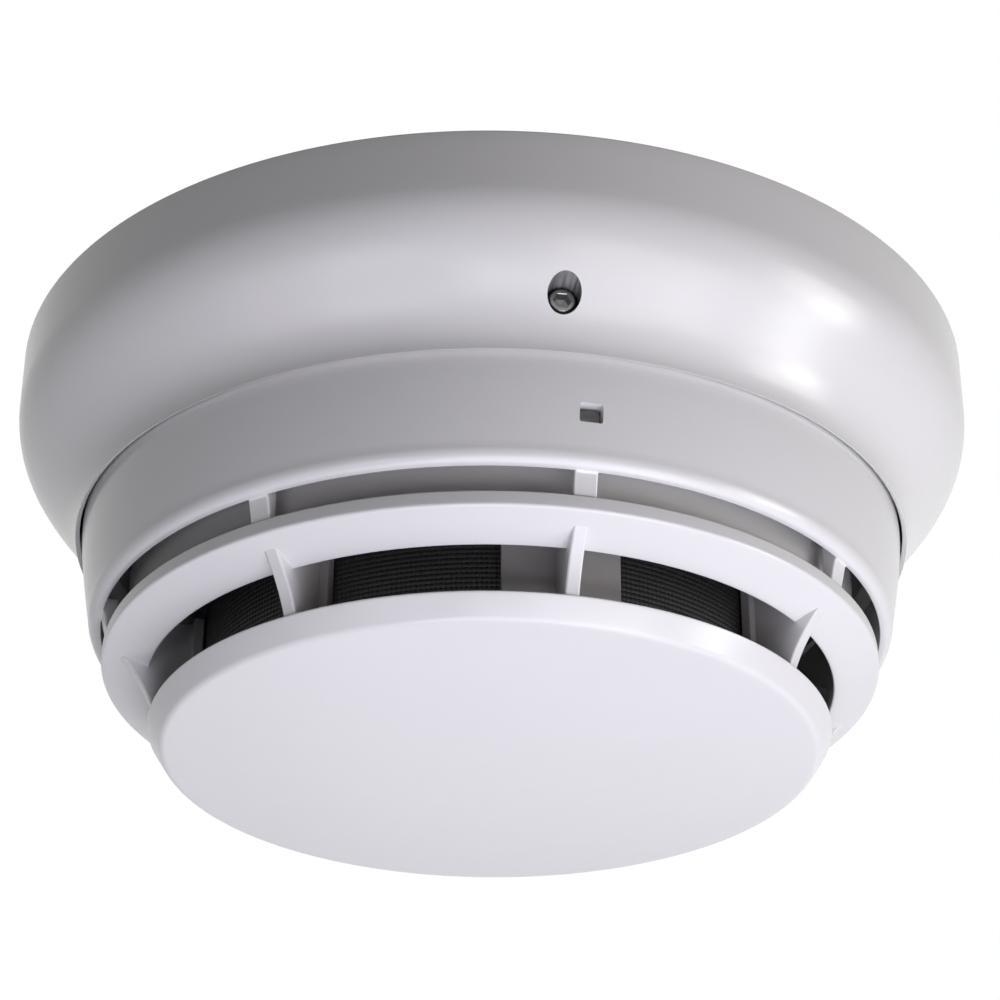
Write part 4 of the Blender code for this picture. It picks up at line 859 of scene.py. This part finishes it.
def metal(name, pale, deep, gloss, stretch):
    """Plated or drawn metal: fine lines along one way and a patchy tarnish."""
    finish = Finish(name)
    lines = finish.noise(900.0, 2.0, stretch)
    patch = finish.noise(160.0, 3.0)
    finish.set(Base_Color=finish.mixed(0.5 * lines + 0.5 * patch, deep, pale), Metallic=1.0)
    finish.set(Roughness=gloss + 0.12 * (lines - 0.5) + 0.10 * (patch - 0.5))
    finish.bump(lines, 0.12, 0.02)
    return finish


def solder_mask():
    """Board lacquer over a pattern of conductors, seen as slightly raised paler bands."""
    finish = Finish("solder_mask")
    sockets = {"Vector": finish.place, "Scale": 260.0, "Mortar Size": 0.03}
    sockets |= {"Brick Width": 1.3, "Row Height": 0.5}
    band = Signal(finish.tree, finish.node("TexBrick", {"offset": 0.37}, sockets).outputs["Fac"])
    patch = finish.noise(90.0)
    body = finish.mixed(0.6 * patch + 0.4 * band, (0.010, 0.011, 0.013), (0.026, 0.028, 0.032))
    finish.set(Base_Color=body, Roughness=0.34 + 0.12 * (patch - 0.5))
    finish.bump(band, 0.2, 0.05)
    return finish


def clear_bar():
    """Clear acrylic with a faint haze."""
    finish = Finish("clear_acrylic")
    haze = finish.noise(300.0)
    finish.set(Base_Color=finish.mixed(haze, (0.62, 0.63, 0.65), (0.78, 0.79, 0.80)))
    finish.set(Roughness=0.06 + 0.08 * haze, Transmission_Weight=0.9, IOR=1.49)
    return finish


def tinted(name, pale, deep):
    """Glossy tinted resin."""
    finish = Finish(name)
    cloud = finish.noise(700.0, 2.0)
    finish.set(Base_Color=finish.mixed(cloud, deep, pale))
    finish.set(Roughness=0.14 + 0.08 * cloud, Coat_Weight=0.4)
    return finish


def finishes():
    """Every finish, by the record's material slot."""
    return {
        "base_white": base_moulding(),
        "cover_white": cover_moulding(),
        "chassis_white": moulded(
            "white_chassis", (0.75, 0.74, 0.72), (0.68, 0.67, 0.65), 0.45, 1500.0, 0.10
        ),
        "chamber_black": moulded(
            "black_chamber", (0.020, 0.020, 0.022), (0.012, 0.012, 0.014), 0.55, 1200.0, 0.15
        ),
        "screen_black": moulded(
            "black_screen", (0.022, 0.021, 0.022), (0.012, 0.011, 0.012), 0.60, 900.0, 0.10
        ),
        "clear_pipe": clear_bar(),
        "dark_steel": metal(
            "set_screw_steel", (0.34, 0.34, 0.35), (0.20, 0.20, 0.21), 0.34, (1.0, 0.2, 1.0)
        ),
        "zinc_screw": metal(
            "zinc_screw", (0.62, 0.63, 0.65), (0.46, 0.47, 0.48), 0.33, (1.0, 1.0, 0.15)
        ),
        "zinc_plate": metal(
            "zinc_plate", (0.60, 0.61, 0.63), (0.48, 0.49, 0.50), 0.36, (0.2, 1.0, 1.0)
        ),
        "tinned_spring": metal(
            "tinned_strip", (0.74, 0.74, 0.72), (0.60, 0.60, 0.58), 0.28, (0.15, 1.0, 1.0)
        ),
        "contact_brass": metal(
            "contact_brass", (0.76, 0.56, 0.27), (0.58, 0.40, 0.18), 0.30, (1.0, 0.15, 1.0)
        ),
        "board_black": solder_mask(),
        "chip_black": moulded(
            "chip_body", (0.040, 0.040, 0.041), (0.024, 0.024, 0.025), 0.52, 1800.0, 0.20
        ),
        "can_blue": moulded("can_sleeve", (0.05, 0.07, 0.15), (0.03, 0.045, 0.10), 0.32, 600.0, 0.05),
        "ferrite": moulded(
            "ferrite_core", (0.12, 0.12, 0.125), (0.07, 0.07, 0.075), 0.62, 1400.0, 0.30
        ),
        "lamp_red": tinted("red_lamp", (0.60, 0.06, 0.05), (0.42, 0.03, 0.03)),
        "bead_blue": tinted("blue_bead", (0.05, 0.10, 0.26), (0.02, 0.05, 0.15)),
        "lamp_tint": tinted("tinted_lamp", (0.12, 0.12, 0.18), (0.07, 0.07, 0.12)),
    }


def from_photo(x, y, z):
    """A place given as the photograph sees it, in millimetres, in the part's frame."""
    return Matrix.Rotation(math.radians(PHOTO_TURN), 3, "Z") @ Vector((x, y, z)) * MM


def photo_camera():
    """Camera at the photograph's place, looking up at the detector."""
    pitch, yaw, roll = (math.radians(value) for value in (CAMERA_PITCH, CAMERA_YAW, CAMERA_ROLL))
    ahead = Vector((math.sin(yaw) * math.cos(pitch), math.cos(yaw) * math.cos(pitch), math.sin(pitch)))
    right = ahead.cross(Vector((0.0, 0.0, 1.0))).normalized()
    up = right.cross(ahead)
    across = math.cos(roll) * right + math.sin(roll) * up
    upright = math.cos(roll) * up - math.sin(roll) * right
    aim = Matrix((across, upright, -ahead)).transposed()
    data = bpy.data.cameras.new("photo_camera")
    data.lens = CAMERA_LENS
    data.sensor_width = CAMERA_SENSOR
    data.clip_start = 0.01
    camera = bpy.data.objects.new("photo_camera", data)
    camera.rotation_mode = "QUATERNION"
    camera.location = from_photo(0.0, -CAMERA_DISTANCE, -CAMERA_DEPTH)
    turn = Matrix.Rotation(math.radians(PHOTO_TURN), 3, "Z")
    camera.rotation_quaternion = (turn @ aim).to_quaternion()
    bpy.context.scene.collection.objects.link(camera)
    bpy.context.scene.camera = camera


def lamp(name, place, size, power, colour, mirrored=True):
    """Soft rectangular lamp that faces the detector, left out of its reflections if not mirrored."""
    data = bpy.data.lights.new(name, "AREA")
    data.shape = "RECTANGLE"
    data.size, data.size_y = size
    data.energy = power
    data.color = colour
    light = bpy.data.objects.new(name, data)
    light.location = place
    light.rotation_mode = "QUATERNION"
    aim = Vector((0.0, 0.0, -LAMP_AIM * MM))
    light.rotation_quaternion = (aim - place).to_track_quat("-Z", "Y")
    light.visible_camera = False
    light.visible_glossy = mirrored
    bpy.context.scene.collection.objects.link(light)


def studio():
    """Soft lamps from below, the sides and behind, and a white surround that lights little itself."""
    cool = (0.86, 0.86, 1.0)
    pale = (0.96, 0.97, 1.0)
    warm = (1.0, 0.93, 0.90)
    lamp("lamp_under_cap", from_photo(60.0, -140.0, -330.0), (0.3, 0.3), 0.74, cool)
    lamp("lamp_under_back", from_photo(150.0, 450.0, -500.0), (0.6, 0.6), 0.22, cool)
    lamp("lamp_below_left", from_photo(-500.0, -100.0, -600.0), (0.7, 0.7), 0.35, pale)
    lamp("lamp_below_right", from_photo(500.0, -100.0, -600.0), (0.7, 0.7), 1.62, pale)
    lamp("lamp_front_left", from_photo(-515.0, -478.0, -503.0), (0.5, 0.25), 0.29, warm)
    lamp("lamp_front", from_photo(-330.0, -590.0, -540.0), (0.36, 0.14), 0.26, cool)
    lamp("lamp_front_right", from_photo(403.0, -570.0, -513.0), (0.5, 0.25), 0.76, warm)
    lamp("lamp_right", from_photo(760.0, -200.0, -165.0), (0.3, 0.3), 1.12, warm)
    lamp("lamp_streak_low", from_photo(735.0, -165.0, -415.0), (0.16, 0.16), 0.36, pale)
    lamp("lamp_streak_high", from_photo(807.0, -146.0, -258.0), (0.12, 0.12), 0.34, pale)
    lamp("lamp_behind", from_photo(0.0, 650.0, 420.0), (0.8, 0.8), 7.0, pale, mirrored=False)

    world = bpy.data.worlds.new("white_surround")
    world.use_nodes = True
    bpy.context.scene.world = world
    tree = world.node_tree
    path = tree.nodes.new("ShaderNodeLightPath")
    camera = Signal(tree, path.outputs["Is Camera Ray"])
    seen = camera.math("MAXIMUM", camera, Signal(tree, path.outputs["Is Glossy Ray"]))
    seen = seen.math("MAXIMUM", seen, Signal(tree, path.outputs["Is Transmission Ray"]))
    strength = SURROUND_LIGHT + (1 - SURROUND_LIGHT) * seen
    background = tree.nodes["Background"]
    background.inputs["Color"].default_value = (1.0, 1.0, 1.0, 1.0)
    tree.links.new(strength.socket, background.inputs["Strength"])


def dress(piece, body, slot, looks, *nodes):
    """Give a new piece its finish, the body it moves with and the nodes it stands for."""
    piece.data.materials.clear()
    piece.data.materials.append(looks[slot].material)
    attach(piece, body)
    if nodes:
        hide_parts(*nodes)


def dress_nodes(looks):
    """Give every carried-over solid the finish of its slot."""
    for part in frame["record"]["subparts"]:
        node = frame["nodes"][part["node"]]
        node.data.materials.clear()
        node.data.materials.append(looks[part["material_slot"]].material)


def detector():
    """Every new piece, dressed, and the carried-over solids."""
    looks = finishes()
    dress_nodes(looks)
    dress(base_shell(), "base", "base_white", looks, "mounting_base")
    dress(base_fittings(), "base", "base_white", looks, "mounting_base")
    dress(lock_screw(), "lock", "dark_steel", looks, "lock_screw")
    for make in (cover_skirt, cover_ring, cover_cap, cover_fins, cover_bridges, cover_posts):
        dress(make(), "head", "cover_white", looks, "head_cover")
    dress(screen_sleeve(), "head", "screen_black", looks, "insect_screen")
    for step, angle in enumerate(SENSOR_ANGLES, 1):
        guard = sensor_tube(f"sensor_tube_{step}", angle)
        dress(guard, "head", "chassis_white", looks, f"sensor_post_{step}")
        bead = sensor_bead(f"sensor_bead_{step}", angle)
        dress(bead, "head", "bead_blue", looks, f"thermistor_{step}")


photo_camera()
studio()
detector()
bpy.context.scene.view_settings.view_transform = "Standard"
